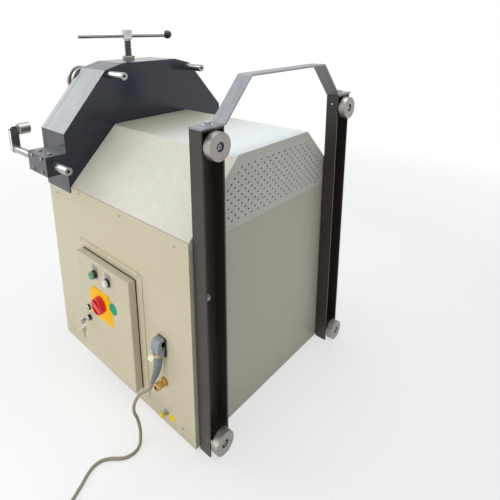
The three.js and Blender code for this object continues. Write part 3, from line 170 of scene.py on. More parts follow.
class Look:
    """One material, with helpers that add and join its nodes."""

    def __init__(self, name, color, roughness, metallic=0.0, **sockets):
        self.material = bpy.data.materials.new(name)
        self.material.use_nodes = True
        self.tree = self.material.node_tree
        self.shader = self.tree.nodes["Principled BSDF"]
        self.color = linear(color)
        self.shader.inputs["Base Color"].default_value = self.color
        self.shader.inputs["Roughness"].default_value = roughness
        self.shader.inputs["Metallic"].default_value = metallic
        for socket, value in sockets.items():
            self.shader.inputs[socket.replace("_", " ")].default_value = value
        self.place = self.node("ShaderNodeTexCoord").outputs["Object"]
        self.height = None

    def node(self, kind, **values):
        made = self.tree.nodes.new(kind)
        for name, value in values.items():
            setattr(made, name, value)
        return made

    def link(self, out, into):
        self.tree.links.new(out, into)

    def axes(self):
        """The place's X, Y and Z, as outputs."""
        split = self.node("ShaderNodeSeparateXYZ")
        self.link(self.place, split.inputs["Vector"])
        return split.outputs

    def noise(self, scale, detail=2.0, stretch=None):
        source = self.place
        if stretch:
            mapping = self.node("ShaderNodeMapping")
            mapping.inputs["Scale"].default_value = stretch
            self.link(source, mapping.inputs["Vector"])
            source = mapping.outputs["Vector"]
        noise = self.node("ShaderNodeTexNoise")
        noise.inputs["Scale"].default_value = scale
        noise.inputs["Detail"].default_value = detail
        self.link(source, noise.inputs["Vector"])
        return noise.outputs["Fac"]

    def ranged(self, value, low, high, start=0.35, end=0.65):
        remap = self.node("ShaderNodeMapRange")
        for name, number in zip(("From Min", "From Max", "To Min", "To Max"), (start, end, low, high)):
            remap.inputs[name].default_value = number
        self.link(value, remap.inputs["Value"])
        return remap.outputs["Result"]

    def math(self, operation, a, b=None):
        made = self.node("ShaderNodeMath", operation=operation)
        for socket, value in zip(made.inputs, (a, b)):
            if isinstance(value, (int, float)):
                socket.default_value = value
            elif value is not None:
                self.link(value, socket)
        return made.outputs["Value"]

    def tint(self, factor, color):
        """Mixes the base colour towards another one."""
        mix = self.node("ShaderNodeMix", data_type="RGBA")
        base = self.shader.inputs["Base Color"]
        if base.is_linked:
            self.link(base.links[0].from_socket, mix.inputs["A"])
        else:
            mix.inputs["A"].default_value = self.color
        mix.inputs["B"].default_value = linear(color)
        self.link(factor, mix.inputs["Factor"])
        self.link(mix.outputs["Result"], base)

    def rough(self, value):
        self.link(value, self.shader.inputs["Roughness"])

    def bump(self, value, distance, strength=1.0):
        made = self.node("ShaderNodeBump")
        made.inputs["Distance"].default_value = distance
        made.inputs["Strength"].default_value = strength
        self.link(value, made.inputs["Height"])
        if self.height:
            self.link(self.height, made.inputs["Normal"])
        self.height = made.outputs["Normal"]
        self.link(self.height, self.shader.inputs["Normal"])


DUST = (150, 142, 125)


def powder_coat(name, color, shade, roughness, grain, speckle):
    """Textured sheet paint: orange peel, faint clouding, fine speckle, and settled dirt low down."""
    look = Look(name, color, roughness)
    look.tint(look.ranged(look.noise(3.0, 3), 0, 0.35), shade)
    if speckle:
        look.tint(look.ranged(look.noise(900, 1), 0, speckle, 0.5, 0.7), shade)
    low = look.ranged(look.axes()["Z"], 0.18, 0, 0.0, 0.12)
    look.tint(look.math("MULTIPLY", low, look.noise(40, 4)), DUST)
    look.rough(look.ranged(look.noise(60, 2), roughness - 0.06, roughness + 0.06))
    look.bump(look.noise(520, 2), grain)
    look.bump(look.noise(7, 1), grain * 1.5, 0.5)
    return look.material


def roof_paint(name, color, shade, head_shadow, sky_reflection):
    """Coarse-grained sheet paint. The flat top has a painted shadow of the head beside the head, and a
    painted pale reflection of the sky at its rear.
    """
    look = Look(name, color, 0.45)
    look.tint(look.ranged(look.noise(3.0, 3), 0, 0.15), shade)
    look.tint(look.ranged(look.noise(400, 1), 0, 0.6, 0.5, 0.7), shade)
    axes = look.axes()
    flat = look.ranged(axes["Z"], 0, 1, 0.878, 0.884)
    # Painted shadow of the head: the flat top darkens towards the head.
    head_shadow_mask = look.ranged(axes["Y"], 0.9, 0, -0.14, 0.2)
    look.tint(look.math("MULTIPLY", flat, head_shadow_mask), head_shadow)
    # Painted reflection of the sky: the flat top grows pale and bluish towards its rear.
    rear = look.ranged(axes["Y"], 0, 0.8, -0.02, 0.3)
    look.tint(look.math("MULTIPLY", flat, rear), sky_reflection)
    look.rough(look.ranged(look.noise(60, 2), 0.38, 0.52))
    look.bump(look.noise(400, 2), 0.0005)
    return look.material


PLATE_SEAM = -0.359
SEAM_END = 0.385


def gloss_paint(name, color, edge, roughness):
    """Machine paint under a clear gloss: wavy, with scratches, and dull at the head's seam."""
    look = Look(name, color, 0.45, Coat_Weight=1, Coat_Roughness=roughness, Specular_IOR_Level=0.08)
    look.tint(look.ranged(look.noise(5, 3), 0, 0.5), edge)
    scratch = look.ranged(look.noise(30, 4, (1, 1, 14)), 0, 0.45, 0.68, 0.78)
    look.tint(scratch, (120, 120, 124))
    look.rough(look.ranged(look.noise(18, 3), 0.38, 0.55))
    look.bump(look.noise(24, 2), 0.0003, 0.4)
    look.bump(look.noise(300, 2), 0.00008)
    axes = look.axes()
    off_seam = look.math("ABSOLUTE", look.math("SUBTRACT", axes["Y"], PLATE_SEAM))
    aside = look.ranged(look.math("ABSOLUTE", axes["X"]), 0, 1, SEAM_END - 0.0005, SEAM_END + 0.0005)
    gloss = look.math("MAXIMUM", look.ranged(off_seam, 0, 1, 0.0006, 0.002), aside)
    look.link(gloss, look.shader.inputs["Coat Weight"])
    return look.material


def turned_steel(name, color, roughness, rings=False):
    """Machined steel with handling marks. Rings follow the piece's own Z axis, as on a lathe."""
    look = Look(name, color, roughness, 1.0)
    if rings:
        axes = look.axes()
        squares = [look.math("POWER", axes[side], 2) for side in "XY"]
        radius = look.math("SQRT", look.math("ADD", *squares))
        tool_path = look.math("ADD", radius, look.math("MULTIPLY", axes["Z"], 0.8))
        turns = look.node("ShaderNodeTexNoise", noise_dimensions="1D")
        turns.inputs["Scale"].default_value = 1300
        turns.inputs["Detail"].default_value = 2
        look.link(tool_path, turns.inputs["W"])
        look.bump(turns.outputs["Fac"], 0.00009, 0.6)
        look.rough(look.ranged(turns.outputs["Fac"], roughness - 0.08, roughness + 0.1))
        look.tint(look.ranged(turns.outputs["Fac"], 0, 0.35, 0.4, 0.7), (140, 136, 132))
    else:
        look.rough(look.ranged(look.noise(220, 3), roughness - 0.06, roughness + 0.1))
        look.bump(look.noise(700, 2), 0.00004)
    look.tint(look.ranged(look.noise(35, 4), 0, 0.5, 0.52, 0.78), (118, 112, 104))
    return look.material


def drawn_steel(name, color, dark, roughness, grain):
    """Drawn or brushed steel. The grain is the noise's fineness along X, Y and Z."""
    look = Look(name, color, roughness, 1.0)
    streaks = look.noise(420, 3, grain)
    look.tint(look.ranged(streaks, 0, 0.7, 0.45, 0.7), dark)
    look.rough(look.ranged(look.noise(900, 2, grain), roughness - 0.08, roughness + 0.14))
    look.bump(streaks, 0.00004)
    look.tint(look.ranged(look.noise(24, 3), 0, 0.2, 0.5, 0.8), dark)
    return look.material


def cast_paint(name, color, shade):
    """Painted casting with its sand grain."""
    look = Look(name, color, 0.55, 0.1)
    look.tint(look.ranged(look.noise(12, 4), 0, 0.6), shade)
    look.bump(look.noise(160, 4), 0.0006)
    return look.material


def plastic(name, color, shade, roughness, shine=0.5, grain=0.00006):
    """Moulded plastic, rubber or a printed plate."""
    look = Look(name, color, roughness, Specular_IOR_Level=shine)
    look.tint(look.ranged(look.noise(60, 3), 0, 0.3), shade)
    look.rough(look.ranged(look.noise(150, 2), roughness - 0.05, roughness + 0.08))
    look.bump(look.noise(800, 2), grain)
    return look.material


def brass_metal(name, color, shade):
    look = Look(name, color, 0.3, 1.0)
    look.tint(look.ranged(look.noise(90, 4), 0, 0.6), shade)
    look.rough(look.ranged(look.noise(200, 2), 0.22, 0.42))
    look.bump(look.noise(500, 2), 0.00005)
    return look.material


RECIPES = {
    "beige_paint": (powder_coat, (207, 199, 172), (194, 186, 160), 0.42, 0.00012, 0.3),
    # The top's paint: a paler, cooler copy of the beige paint that stands in for the sky's sheen on it,
    # its grain colour, a painted shadow of the head and a painted reflection of the sky.
    "grained_paint": (roof_paint, (219, 216, 201), (158, 151, 129), (142, 138, 120), (228, 232, 235)),
    # Cooler copies of the beige paint for the rear panels: the upper, vented one paler as painted cool
    # light, the lower one greyer as painted cool shade.
    "rear_paint": (powder_coat, (220, 218, 209), (205, 203, 194), 0.45, 0.00012, 0.3),
    "access_paint": (powder_coat, (208, 203, 186), (194, 188, 170), 0.44, 0.00012, 0.3),
    "head_paint": (gloss_paint, (22, 28, 46), (29, 35, 52), 0.2),
    "post_paint": (powder_coat, (50, 43, 38), (58, 51, 46), 0.4, 0.0001, 0.2),
    "bare_steel": (turned_steel, (172, 169, 166), 0.34),
    "ringed_steel": (turned_steel, (164, 160, 155), 0.46, True),
    "drawn_steel": (drawn_steel, (180, 182, 182), (126, 128, 128), 0.26, (1, 1, 0.03)),
    "drawn_steel_y": (drawn_steel, (178, 180, 180), (104, 105, 105), 0.26, (1, 0.03, 1)),
    "zinc_steel": (turned_steel, (168, 171, 175), 0.42),
    "brushed_zinc": (drawn_steel, (142, 144, 148), (122, 124, 128), 0.42, (0.03, 1, 0.03)),
    "thread_steel": (turned_steel, (108, 104, 95), 0.4),
    "chrome": (turned_steel, (196, 198, 200), 0.16),
    "cast_iron": (cast_paint, (96, 108, 118), (78, 88, 98)),
    "hood_grey": (cast_paint, (158, 165, 172), (130, 138, 147)),
    "brass": (brass_metal, (214, 176, 106), (156, 120, 66)),
    "green_button": (plastic, (16, 150, 72), (10, 120, 56), 0.25),
    "teal_plate": (plastic, (0, 160, 124), (0, 144, 110), 0.45, 0.1),
    "lamp_lens": (plastic, (232, 232, 224), (214, 216, 208), 0.25),
    "legend_plate": (plastic, (150, 150, 147), (124, 124, 122), 0.35),
    "yellow_plate": (plastic, (252, 196, 4), (238, 180, 2), 0.45, 0.1),
    "lemon_plate": (plastic, (246, 216, 24), (232, 200, 14), 0.45, 0.1),
    "red_knob": (plastic, (230, 42, 62), (204, 28, 48), 0.3, 0.35),
    "black_plastic": (plastic, (24, 24, 26), (40, 40, 42), 0.38),
    "grey_plastic": (plastic, (150, 153, 154), (128, 131, 133), 0.5),
    "cream_tag": (plastic, (255, 250, 232), (240, 234, 212), 0.5),
    "grey_rubber": (plastic, (126, 135, 141), (98, 107, 113), 0.5, 0.5, 0.0001),
    "black_rubber": (plastic, (20, 20, 21), (32, 32, 33), 0.7, 0.5, 0.0001),
    "cable_sheath": (plastic, (158, 149, 130), (134, 126, 108), 0.42, 0.5, 0.0001),
    "treadle_paint": (powder_coat, (140, 142, 145), (120, 122, 126), 0.45, 0.0001, 0),
}
MATERIALS = {name: make(name, *values) for name, (make, *values) in RECIPES.items()}

SHEET_NODES = (
    "side_panel_control", "side_panel_plain", "front_panel", "rear_access_panel", "top_hood",
    "control_box", "rest_post_left", "rest_post_right", "base_plate", "head_deck",
)
BLOCK_NODES = (
    "head_front_plate", "head_housing", "guide_block_left", "guide_block_right", "worm_gearbox",
    "press_slide", "connector_base", "pedal_base", "treadle_left", "treadle_right",
)


SHEET_EDGE = 0.0008
BLOCK_EDGE = 0.0015


def soften(obj, width):
    """Rounds the hard edges."""
    bevel = obj.modifiers.new("edges", "BEVEL")
    bevel.width = width
    bevel.segments = 2
    bevel.limit_method = "ANGLE"
    bevel.angle_limit = math.radians(38)
    bevel.harden_normals = True


slot_of = {item["node"]: item["material_slot"] for item in frame["record"]["subparts"]}
for name, obj in nodes.items():
    obj.data.materials.clear()
    obj.data.materials.append(MATERIALS[slot_of[name]])
nodes["top_hood"].data.materials[0] = MATERIALS["grained_paint"]
# Greyer copy of the beige paint on the lower rear panel, as painted cool shade.
nodes["rear_access_panel"].data.materials[0] = MATERIALS["access_paint"]
for name in SHEET_NODES:
    soften(nodes[name], SHEET_EDGE)
for name in BLOCK_NODES:
    soften(nodes[name], BLOCK_EDGE)

cable = cable_curve()
cable.data.materials.append(MATERIALS["cable_sheath"])
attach(cable, "frame")
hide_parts("cable", "cable_coil")
tuple(cable_path[0])

# Outlines, as (x, y) points in millimetres, counter-clockwise

MM = 0.001


def circle(radius, sides=48):
    turns = [i * 2 * math.pi / sides for i in range(sides)]
    return [(radius * math.cos(a), radius * math.sin(a)) for a in turns]


def hexagon(flats, sides=24):
    """A hexagon's points at as many even angles as a circle's."""
    points = []
    for i in range(sides):
        a = i * 2 * math.pi / sides
        reach = flats / 2 / math.cos(a % (math.pi / 3) - math.pi / 6)
        points.append((reach * math.cos(a), reach * math.sin(a)))
    return points


def rounded(width, tall, radius, steps=4):
    """A rectangle about the origin, with round corners."""
    points = []
    for quarter, (sx, sy) in enumerate(((1, 1), (-1, 1), (-1, -1), (1, -1))):
        cx, cy = sx * (width / 2 - radius), sy * (tall / 2 - radius)
        for i in range(steps + 1):
            a = (quarter + i / steps) * math.pi / 2
            points.append((cx + radius * math.cos(a), cy + radius * math.sin(a)))
    return points


def inset(outline, distance):
    """The outline moved inwards, with mitred corners."""
    if not distance:
        return outline
    moved = []
    count = len(outline)
    for i, here in enumerate(outline):
        before, after = Vector(outline[i - 1]), Vector(outline[(i + 1) % count])
        here = Vector(here)
        one, two = (here - before).normalized(), (after - here).normalized()
        middle = Vector((-one.y - two.y, one.x + two.x))
        moved.append(tuple(here + middle * (2 * distance / middle.length_squared)))
    return moved


# Shapes and pieces

AXES = {"X": (1, 0, 0), "-X": (-1, 0, 0), "Y": (0, 1, 0), "-Y": (0, -1, 0), "Z": (0, 0, 1)}


def outward(side):
    return "X" if side > 0 else "-X"


def placed(x, y, z, axis="Z", turn=0):
    """A frame in millimetres whose Z runs along the axis. On a level axis its Y points up."""
    facing = Vector(AXES[axis] if isinstance(axis, str) else axis).to_track_quat("Z", "Y")
    spin = Matrix.Rotation(math.radians(turn), 4, "Z")
    return Matrix.Translation((x, y, z)) @ facing.to_matrix().to_4x4() @ spin


def rounding(high, radius, steps):
    """(height, inset) levels of a rounded upper edge."""
    turns = [i / steps * math.pi / 2 for i in range(steps + 1)]
    return [(high - radius + radius * math.sin(a), radius * (1 - math.cos(a))) for a in turns]


class Shape:
    """A mesh in the making, in millimetres. Each method adds one closed body."""

    def __init__(self):
        self.mesh = bmesh.new()

    def loft(self, loops, at=Matrix(), closed=False):
        """Joins loops of as many points each. A loop of one point is a tip."""
        rings = [[self.mesh.verts.new(at @ Vector(point)) for point in loop] for loop in loops]
        spans = list(zip(rings, rings[1:]))
        if closed:
            spans.append((rings[-1], rings[0]))
        for one, two in spans:
            count = max(len(one), len(two))
            for i in range(count):
                j = (i + 1) % count
                corners = [one[i % len(one)], one[j % len(one)], two[j % len(two)], two[i % len(two)]]
                corners = list(dict.fromkeys(corners))
                if len(corners) > 2:
                    self.mesh.faces.new(corners)
        if not closed:
            for ring in (rings[0], rings[-1]):
                if len(ring) > 2:
                    self.mesh.faces.new(ring)
        return self

    def stack(self, levels, at=Matrix(), closed=False):
        """Joins (outline, height) levels."""
        return self.loft([[(x, y, z) for x, y in outline] for outline, z in levels], at, closed)

    def prism(self, outline, low, high, at=Matrix(), edge=0.0, foot=0.0):
        """Extrudes the outline from low to high, its upper edge rounded and its lower one cut."""
        levels = [(low, foot), (low + foot, 0)] if foot else [(low, 0)]
        levels += rounding(high, edge, 3) if edge else [(high, 0)]
        return self.stack([(inset(outline, d), z) for z, d in levels], at)

    def turned(self, profile, at=Matrix(), sides=48, closed=False):
        """Turns (radius, height) points about the frame's Z. Radius 0 is a tip."""
        loops = [[(x, y, z) for x, y in circle(r, sides)] if r else [(0, 0, z)] for r, z in profile]
        return self.loft(loops, at, closed)

    def sweep(self, path, radii, sides=28):
        """A round body along the path, with one radius for each point."""
        loops = []
        for i, (point, radius) in enumerate(zip(path, radii)):
            way = path[min(i + 1, len(path) - 1)] - path[max(i - 1, 0)]
            facing = way.to_track_quat("Z", "Y").to_matrix()
            loops.append([point + facing @ Vector((x, y, 0)) for x, y in circle(radius, sides)])
        return self.loft(loops)


def as_object(name, shape, look):
    bmesh.ops.recalc_face_normals(shape.mesh, faces=shape.mesh.faces)
    shape.mesh.transform(Matrix.Scale(MM, 4))
    data = bpy.data.meshes.new(name)
    shape.mesh.to_mesh(data)
    shape.mesh.free()
    data.materials.append(MATERIALS[look])
    obj = bpy.data.objects.new(name, data)
    scene.collection.objects.link(obj)
    return obj


def applied(obj):
    """The object's mesh with its modifiers in it."""
    bpy.context.view_layer.update()
    graph = bpy.context.evaluated_depsgraph_get()
    return bpy.data.meshes.new_from_object(obj.evaluated_get(graph))


def piece(name, shape, look, body, at=None, stands_for=(), cutters=()):
    """Makes an object of the shape, less its cutters, that rides on the body."""
    obj = as_object(name, shape, look)
    tools = [as_object(f"{name}_cutter", cutter, look) for cutter in cutters]
    if tools:
        for tool in tools:
            cut = obj.modifiers.new("cut", "BOOLEAN")
            cut.object = tool
            cut.solver = "EXACT"
        data = applied(obj)
        obj.modifiers.clear()
        obj.data = data
        for tool in tools:
            bpy.data.objects.remove(tool)
    obj.data.shade_smooth()
    obj.data.set_sharp_from_angle(angle=math.radians(32))
    flat = obj.modifiers.new("flat", "WEIGHTED_NORMAL")
    flat.keep_sharp = True
    if at:
        place = at.copy()
        place.translation = at.translation * MM
        obj.matrix_world = place
    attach(obj, body)
    if stands_for:
        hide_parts(*stands_for)
    return obj


# Fasteners, added to a shape at a frame on the surface with its Z outwards

WASHER = 1.6


def hex_bolt(shape, at, flats, tall, washer):
    r = washer / 2
    shape.turned([(0, 0), (r, 0), (r, WASHER - 0.4), (r - 0.4, WASHER), (0, WASHER)], at, 32)
    shape.prism(hexagon(flats), WASHER, WASHER + tall, at, edge=0.7)


def pan_screw(shape, at, size, tall):
    r = size / 2
    shape.turned([
        (0, 0), (r, 0), (r, tall * 0.45), (r * 0.8, tall * 0.85), (r * 0.45, tall),
        (r * 0.4, tall * 0.6), (0, tall * 0.4),
    ], at, 20)


def socket_screw(shape, at, size, tall, key):
    r = size / 2
    shape.stack([
        (circle(r, 24), 0), (circle(r, 24), tall - 0.7), (circle(r - 0.7, 24), tall),
        (hexagon(key), tall), (hexagon(key), tall - key * 0.7)], at)


# Sizes of the CAD model that the pieces go by

HEAD_REAR = -219
HEAD_FRONT = -389
HEAD_TOP = 1107
SEAT = 0.3
ROLL_X = 165
LOWER_Z = 815
UPPER_Z = 950
SPARE_X = 187
SPARE_Z = 1035
SHOULDER = HEAD_FRONT - 11
ROLLER_WIDTH = 50
SCREW_Y = -365
SCREW_TOP = 1187
BAR_Z = 1203
BAR_TURN = 158.6
SIDES = (("left", -1), ("right", 1))

# Rear rest frame: discs with their screws, strap handle, bolts

POST_X = 327.6
DISC_BACK = 449.4
DISC = 75
DISC_THICK = 24
DISC_SINK = 26
DISC_SINK_DEPTH = 11
DISC_LEVELS = (("low", 38), ("high", 955))


def rest_disc():
    r, sink = DISC / 2, DISC_SINK / 2
    floor = DISC_THICK - DISC_SINK_DEPTH
    return Shape().turned([
        (0, 0), (r - 1.5, 0), (r - 0.4, 0.4), (r, 1.5), (r, DISC_THICK - 1.5),
        (r - 0.4, DISC_THICK - 0.4), (r - 1.5, DISC_THICK), (sink + 0.8, DISC_THICK),
        (sink, DISC_THICK - 0.8), (sink, floor), (0, floor),
    ], sides=72)


disc_screws = Shape()
for side_name, side in SIDES:
    for level, z in DISC_LEVELS:
        at = placed(side * POST_X, DISC_BACK, z, "Y")
        piece(f"disc_{level}_{side_name}", rest_disc(), "ringed_steel", "frame", at,
              stands_for=[f"rest_disc_{level}_{side_name}"])
        floor_at = placed(side * POST_X, DISC_BACK + DISC_THICK - DISC_SINK_DEPTH, z, "Y")
        disc_screws.turned([(0, 0), (11, 0), (11, 1.2), (10.4, 1.6), (0, 1.6)], floor_at, 32)
        socket_screw(disc_screws, floor_at @ Matrix.Translation((0, 0, WASHER)), 13, 7, 6)
piece("disc_screws", disc_screws, "zinc_steel", "frame")

STRAP_TAB = 1003.9
STRAP_TOP = 1116
STRAP_WIDE = 48
STRAP_THICK = 5
STRAP_BACK = 404.6
STRAP_BEND = 6


def beside(points, distance):
    """An open line of (x, z) points moved to its right, with mitred corners."""
    moved = []
    for i, here in enumerate(points):
        ways = [points[j + 1] - points[j] for j in (i - 1, i) if 0 <= j < len(points) - 1]
        normals = [Vector((way.y, -way.x)).normalized() for way in ways]
        middle = normals[0] + normals[-1]
        moved.append(here + middle * (2 * distance / middle.length_squared))
    return moved


def filleted(points, radius, steps=5):
    """The line with an arc in place of each inner corner."""
    line = [points[0]]
    for before, here, after in zip(points, points[1:], points[2:]):
        one, two = (before - here).normalized(), (after - here).normalized()
        half = one.angle(two) / 2
        reach = radius / math.tan(half)
        centre = here + (one + two).normalized() * (radius / math.sin(half))
        start, end = here + one * reach - centre, here + two * reach - centre
        sweep = start.angle_signed(end)
        for i in range(steps + 1):
            line.append(centre + Matrix.Rotation(-sweep * i / steps, 2) @ start)
    line.append(points[-1])
    return line


def strap():
    outer = [Vector(p) for p in (
        (-371, STRAP_TAB), (-287.6, STRAP_TAB), (-185, STRAP_TOP), (185, STRAP_TOP),
        (287.6, STRAP_TAB), (371, STRAP_TAB))]
    line = filleted(beside(outer, STRAP_THICK / 2), STRAP_BEND)
    middle = STRAP_BACK + STRAP_WIDE / 2
    loops = []
    for i, point in enumerate(line):
        way = (line[min(i + 1, len(line) - 1)] - line[max(i - 1, 0)]).normalized()
        loops.append([
            (point.x - way.y * u, middle + v, point.y + way.x * u)
            for u, v in rounded(STRAP_THICK, STRAP_WIDE, 0.9, 2)])
    return Shape().loft(loops)


piece("strap", strap(), "brushed_zinc", "frame", stands_for=["strap_handle"])

TAB_BOLT = (328, 429, STRAP_TAB)
BACK_BOLT = (326, 409.6, 506)
INNER_STUD = (287.6, 430, 970)
post_bolts = Shape()
for side in (-1, 1):
    (tab_x, *tab), (back_x, *back), (stud_x, *stud) = TAB_BOLT, BACK_BOLT, INNER_STUD
    hex_bolt(post_bolts, placed(side * tab_x, *tab, "Z", 12 * side), 17, 8, 30)
    hex_bolt(post_bolts, placed(side * back_x, *back, "Y"), 13, 6, 22)
    stud_at = placed(side * stud_x, *stud, outward(-side))
    post_bolts.turned([(0, 0), (4, 0), (4, 6.5), (3.2, 7.5), (0, 7.5)], stud_at, 20)
piece("post_bolts", post_bolts, "zinc_steel", "frame")

# Storage pegs and the guide bars' round ends have a tapped hole in their rear face

PEG = 28
PEG_HOLE = 5.5
PEG_DEEP = 22


def peg(length):
    r, hole = PEG / 2, PEG_HOLE
    floor = length - PEG_DEEP
    return [(0, 0), (r, 0), (r, length - 1.6), (r - 0.5, length - 0.5), (r - 1.6, length),
            (hole + 1, length), (hole, length - 1), (hole, floor), (0, floor)]


for side_name, side in SIDES:
    piece(f"peg_{side_name}", Shape().turned(peg(94.4)), "drawn_steel", "frame",
          placed(side * SPARE_X, HEAD_REAR + SEAT, 1069, "Y"), [f"storage_peg_{side_name}"])

# Vented upper rear panel

PANEL_HALF = 376.7
PANEL_FOOT = 667.15
EAVES = 691.2
ROOF_HALF = 179
ROOF_TOP = 885
PANEL_MIDDLE = 398.5
PANEL_THICK = 3
VENT_RADIUS = 3.4
VENT_COLUMNS = 18
VENT_PITCH = 15
VENT_ROWS = 6
VENT_ROW_PITCH = 28
VENT_FOOT = 693
VENT_TAPER = 6.9


def vent_places():
    """Staggered columns, which grow shorter beside the chamfers."""
    for column in range(-VENT_COLUMNS, VENT_COLUMNS + 1):
        x = column * VENT_PITCH
        lost = max(0, abs(x) - ROOF_HALF) / (PANEL_HALF - ROOF_HALF) * VENT_TAPER
        row = 0 if column % 2 == 0 else 0.5
        while row < VENT_ROWS - lost:
            yield x, VENT_FOOT + row * VENT_ROW_PITCH
            row += 1


def vented_panel():
    """A flat sheet with round holes, filled as a 2D curve and kept as a mesh."""
    half = [(PANEL_HALF, PANEL_FOOT), (PANEL_HALF, EAVES), (ROOF_HALF, ROOF_TOP)]
    outlines = [half + [(-x, z) for x, z in reversed(half)]]
    outlines += [[(x + u, z + v) for u, v in circle(VENT_RADIUS, 16)] for x, z in vent_places()]
    curve = bpy.data.curves.new("vented_panel", "CURVE")
    curve.dimensions = "2D"
    curve.fill_mode = "BOTH"
    curve.extrude = PANEL_THICK / 2 * MM
    for outline in outlines:
        line = curve.splines.new("POLY")
        line.points.add(len(outline) - 1)
        for point, (x, z) in zip(line.points, outline):
            point.co = (x * MM, z * MM, 0, 1)
        line.use_cyclic_u = True
    sketch = bpy.data.objects.new("vented_panel_sketch", curve)
    scene.collection.objects.link(sketch)
    data = applied(sketch)
    bpy.data.objects.remove(sketch)
    upright_turn = Matrix.Rotation(math.pi / 2, 4, "X")
    data.transform(Matrix.Translation((0, PANEL_MIDDLE * MM, 0)) @ upright_turn)
    data.materials.clear()
    # Paler, cooler copy of the beige paint, as painted cool light on the upper rear.
    data.materials.append(MATERIALS["rear_paint"])
    obj = bpy.data.objects.new("vented_panel", data)
    scene.collection.objects.link(obj)
    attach(obj, "frame")
    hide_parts("vented_rear_panel")


vented_panel()

# Head: pressure screw with its bar, collar, front plate's screws

THREAD_PITCH = 5
THREAD_CREST = 13.9
THREAD_ROOT = 11.6
THREAD_STEPS = 10
SCREW_FOOT = 1005.3


def threaded_rod(foot, top):
    """A screw thread whose radius follows the height and the turn."""
    sides = 40
    rows = round((top - foot) / THREAD_PITCH * THREAD_STEPS)
    loops = [[(0, 0, foot)]]
    for row in range(rows + 1):
        z = foot + (top - foot) * row / rows
        loop = []
        for i in range(sides):
            phase = (z / THREAD_PITCH - i / sides) % 1
            depth = min(1, max(0, abs(phase - 0.5) * 4 - 0.5))
            r = THREAD_CREST - (THREAD_CREST - THREAD_ROOT) * depth
            a = i * 2 * math.pi / sides
            loop.append((r * math.cos(a), r * math.sin(a), z))
        loops.append(loop)
    loops.append([(0, 0, top)])
    return loops


def rod(radius, low, high, at=Matrix()):
    return Shape().turned([(0, low), (radius, low), (radius, high), (0, high)], at)


SCREW_HEAD = 34
SCREW_HEAD_TALL = 39
EYE = 10.3
screw_at = placed(0, SCREW_Y, 0, "Z", BAR_TURN)
thread = Shape().loft(threaded_rod(SCREW_FOOT, SCREW_TOP - 4))
piece("screw_thread", thread, "thread_steel", "screw", screw_at, ["pressure_screw"])
head = Shape().prism(
    rounded(SCREW_HEAD, SCREW_HEAD, 2.5), SCREW_TOP, SCREW_TOP + SCREW_HEAD_TALL, edge=1.8, foot=1.5)
neck = rod(THREAD_CREST, SCREW_TOP - 6, SCREW_TOP + 1)
eye = rod(EYE, -30, 30, placed(0, 0, BAR_Z, "X"))
piece("screw_head", head, "chrome", "screw", screw_at, cutters=[eye])
piece("screw_neck", neck, "bare_steel", "screw", screw_at)

bar_way = (math.cos(math.radians(BAR_TURN)), math.sin(math.radians(BAR_TURN)), 0)
bar_at = placed(0, SCREW_Y, BAR_Z, bar_way)
BAR_END = -193
BALL_FOOT = 155.4
BALL_MIDDLE = 172
BALL = 17.5
bar = Shape().turned([(0, BAR_END), (8.6, BAR_END), (10, BAR_END + 1.4), (10, 164.5), (0, 164.5)])
piece("bar", bar, "drawn_steel", "bar", bar_at, ["tommy_bar"])
ball_turns = [math.radians(a) for a in range(37, 180, 9)]
ball = Shape().turned([
    (EYE, BALL_FOOT), *((BALL * math.sin(a), BALL_MIDDLE - BALL * math.cos(a)) for a in ball_turns),
    (0, BALL_MIDDLE + BALL)])
piece("ball", ball, "black_plastic", "bar", bar_at, ["bar_ball"])

collar = Shape().turned([
    (14.6, 0.4), (24.2, 0.4), (24.3, 5), (24.3, 5.4), (24.8, 6), (24.8, 12), (23.6, 13.2), (14.6, 13.2),
], closed=True)
piece("screw_collar", collar, "ringed_steel", "frame", placed(0, SCREW_Y, HEAD_TOP))

CAP_THICK = 10
CAP_SCREW_CIRCLE = 34
PLATE_SCREWS = ((350, 700), (350, 860), (95, 1085), (95, 700))
head_screws = Shape()
for side in (-1, 1):
    for i in range(6):
        a = math.radians(30 + 60 * i)
        x, z = side * ROLL_X + CAP_SCREW_CIRCLE * math.cos(a), LOWER_Z + CAP_SCREW_CIRCLE * math.sin(a)
        socket_screw(head_screws, placed(x, HEAD_FRONT - SEAT - CAP_THICK, z, "-Y"), 10, 6, 5)
for x, z in PLATE_SCREWS:
    for side in (-1, 1):
        socket_screw(head_screws, placed(side * x, HEAD_FRONT, z, "-Y"), 18, 10, 10)
piece("head_screws", head_screws, "bare_steel", "frame")

# Rolls: grooved rollers, stepped shafts with slotted nuts, bearing caps

ROLLER = 55
GROOVE_FLOOR = 33


def roller(bore):
    """A shaping roller, from its back at height 0 to its face, with a round-cornered groove."""
    r, g = ROLLER, GROOVE_FLOOR
    w = ROLLER_WIDTH
    g0, g1 = (w - 20) / 2, (w + 20) / 2
    return Shape().turned([
        (bore, 0), (r - 2.2, 0), (r - 0.6, 0.6), (r, 2.2), (r, g0 - 1.2), (r - 0.4, g0 - 0.4),
        (r - 1.4, g0), (g + 2, g0), (g + 0.6, g0 + 0.6), (g, g0 + 2), (g, g1 - 2), (g + 0.6, g1 - 0.6),
        (g + 2, g1), (r - 1.4, g1), (r - 0.4, g1 + 0.4), (r, g1 + 1.2), (r, w - 2.2),
        (r - 0.6, w - 0.6), (r - 2.2, w), (bore + 8, w), (bore + 7, w - 1.5), (bore, w - 1.5),
    ], sides=96, closed=True)


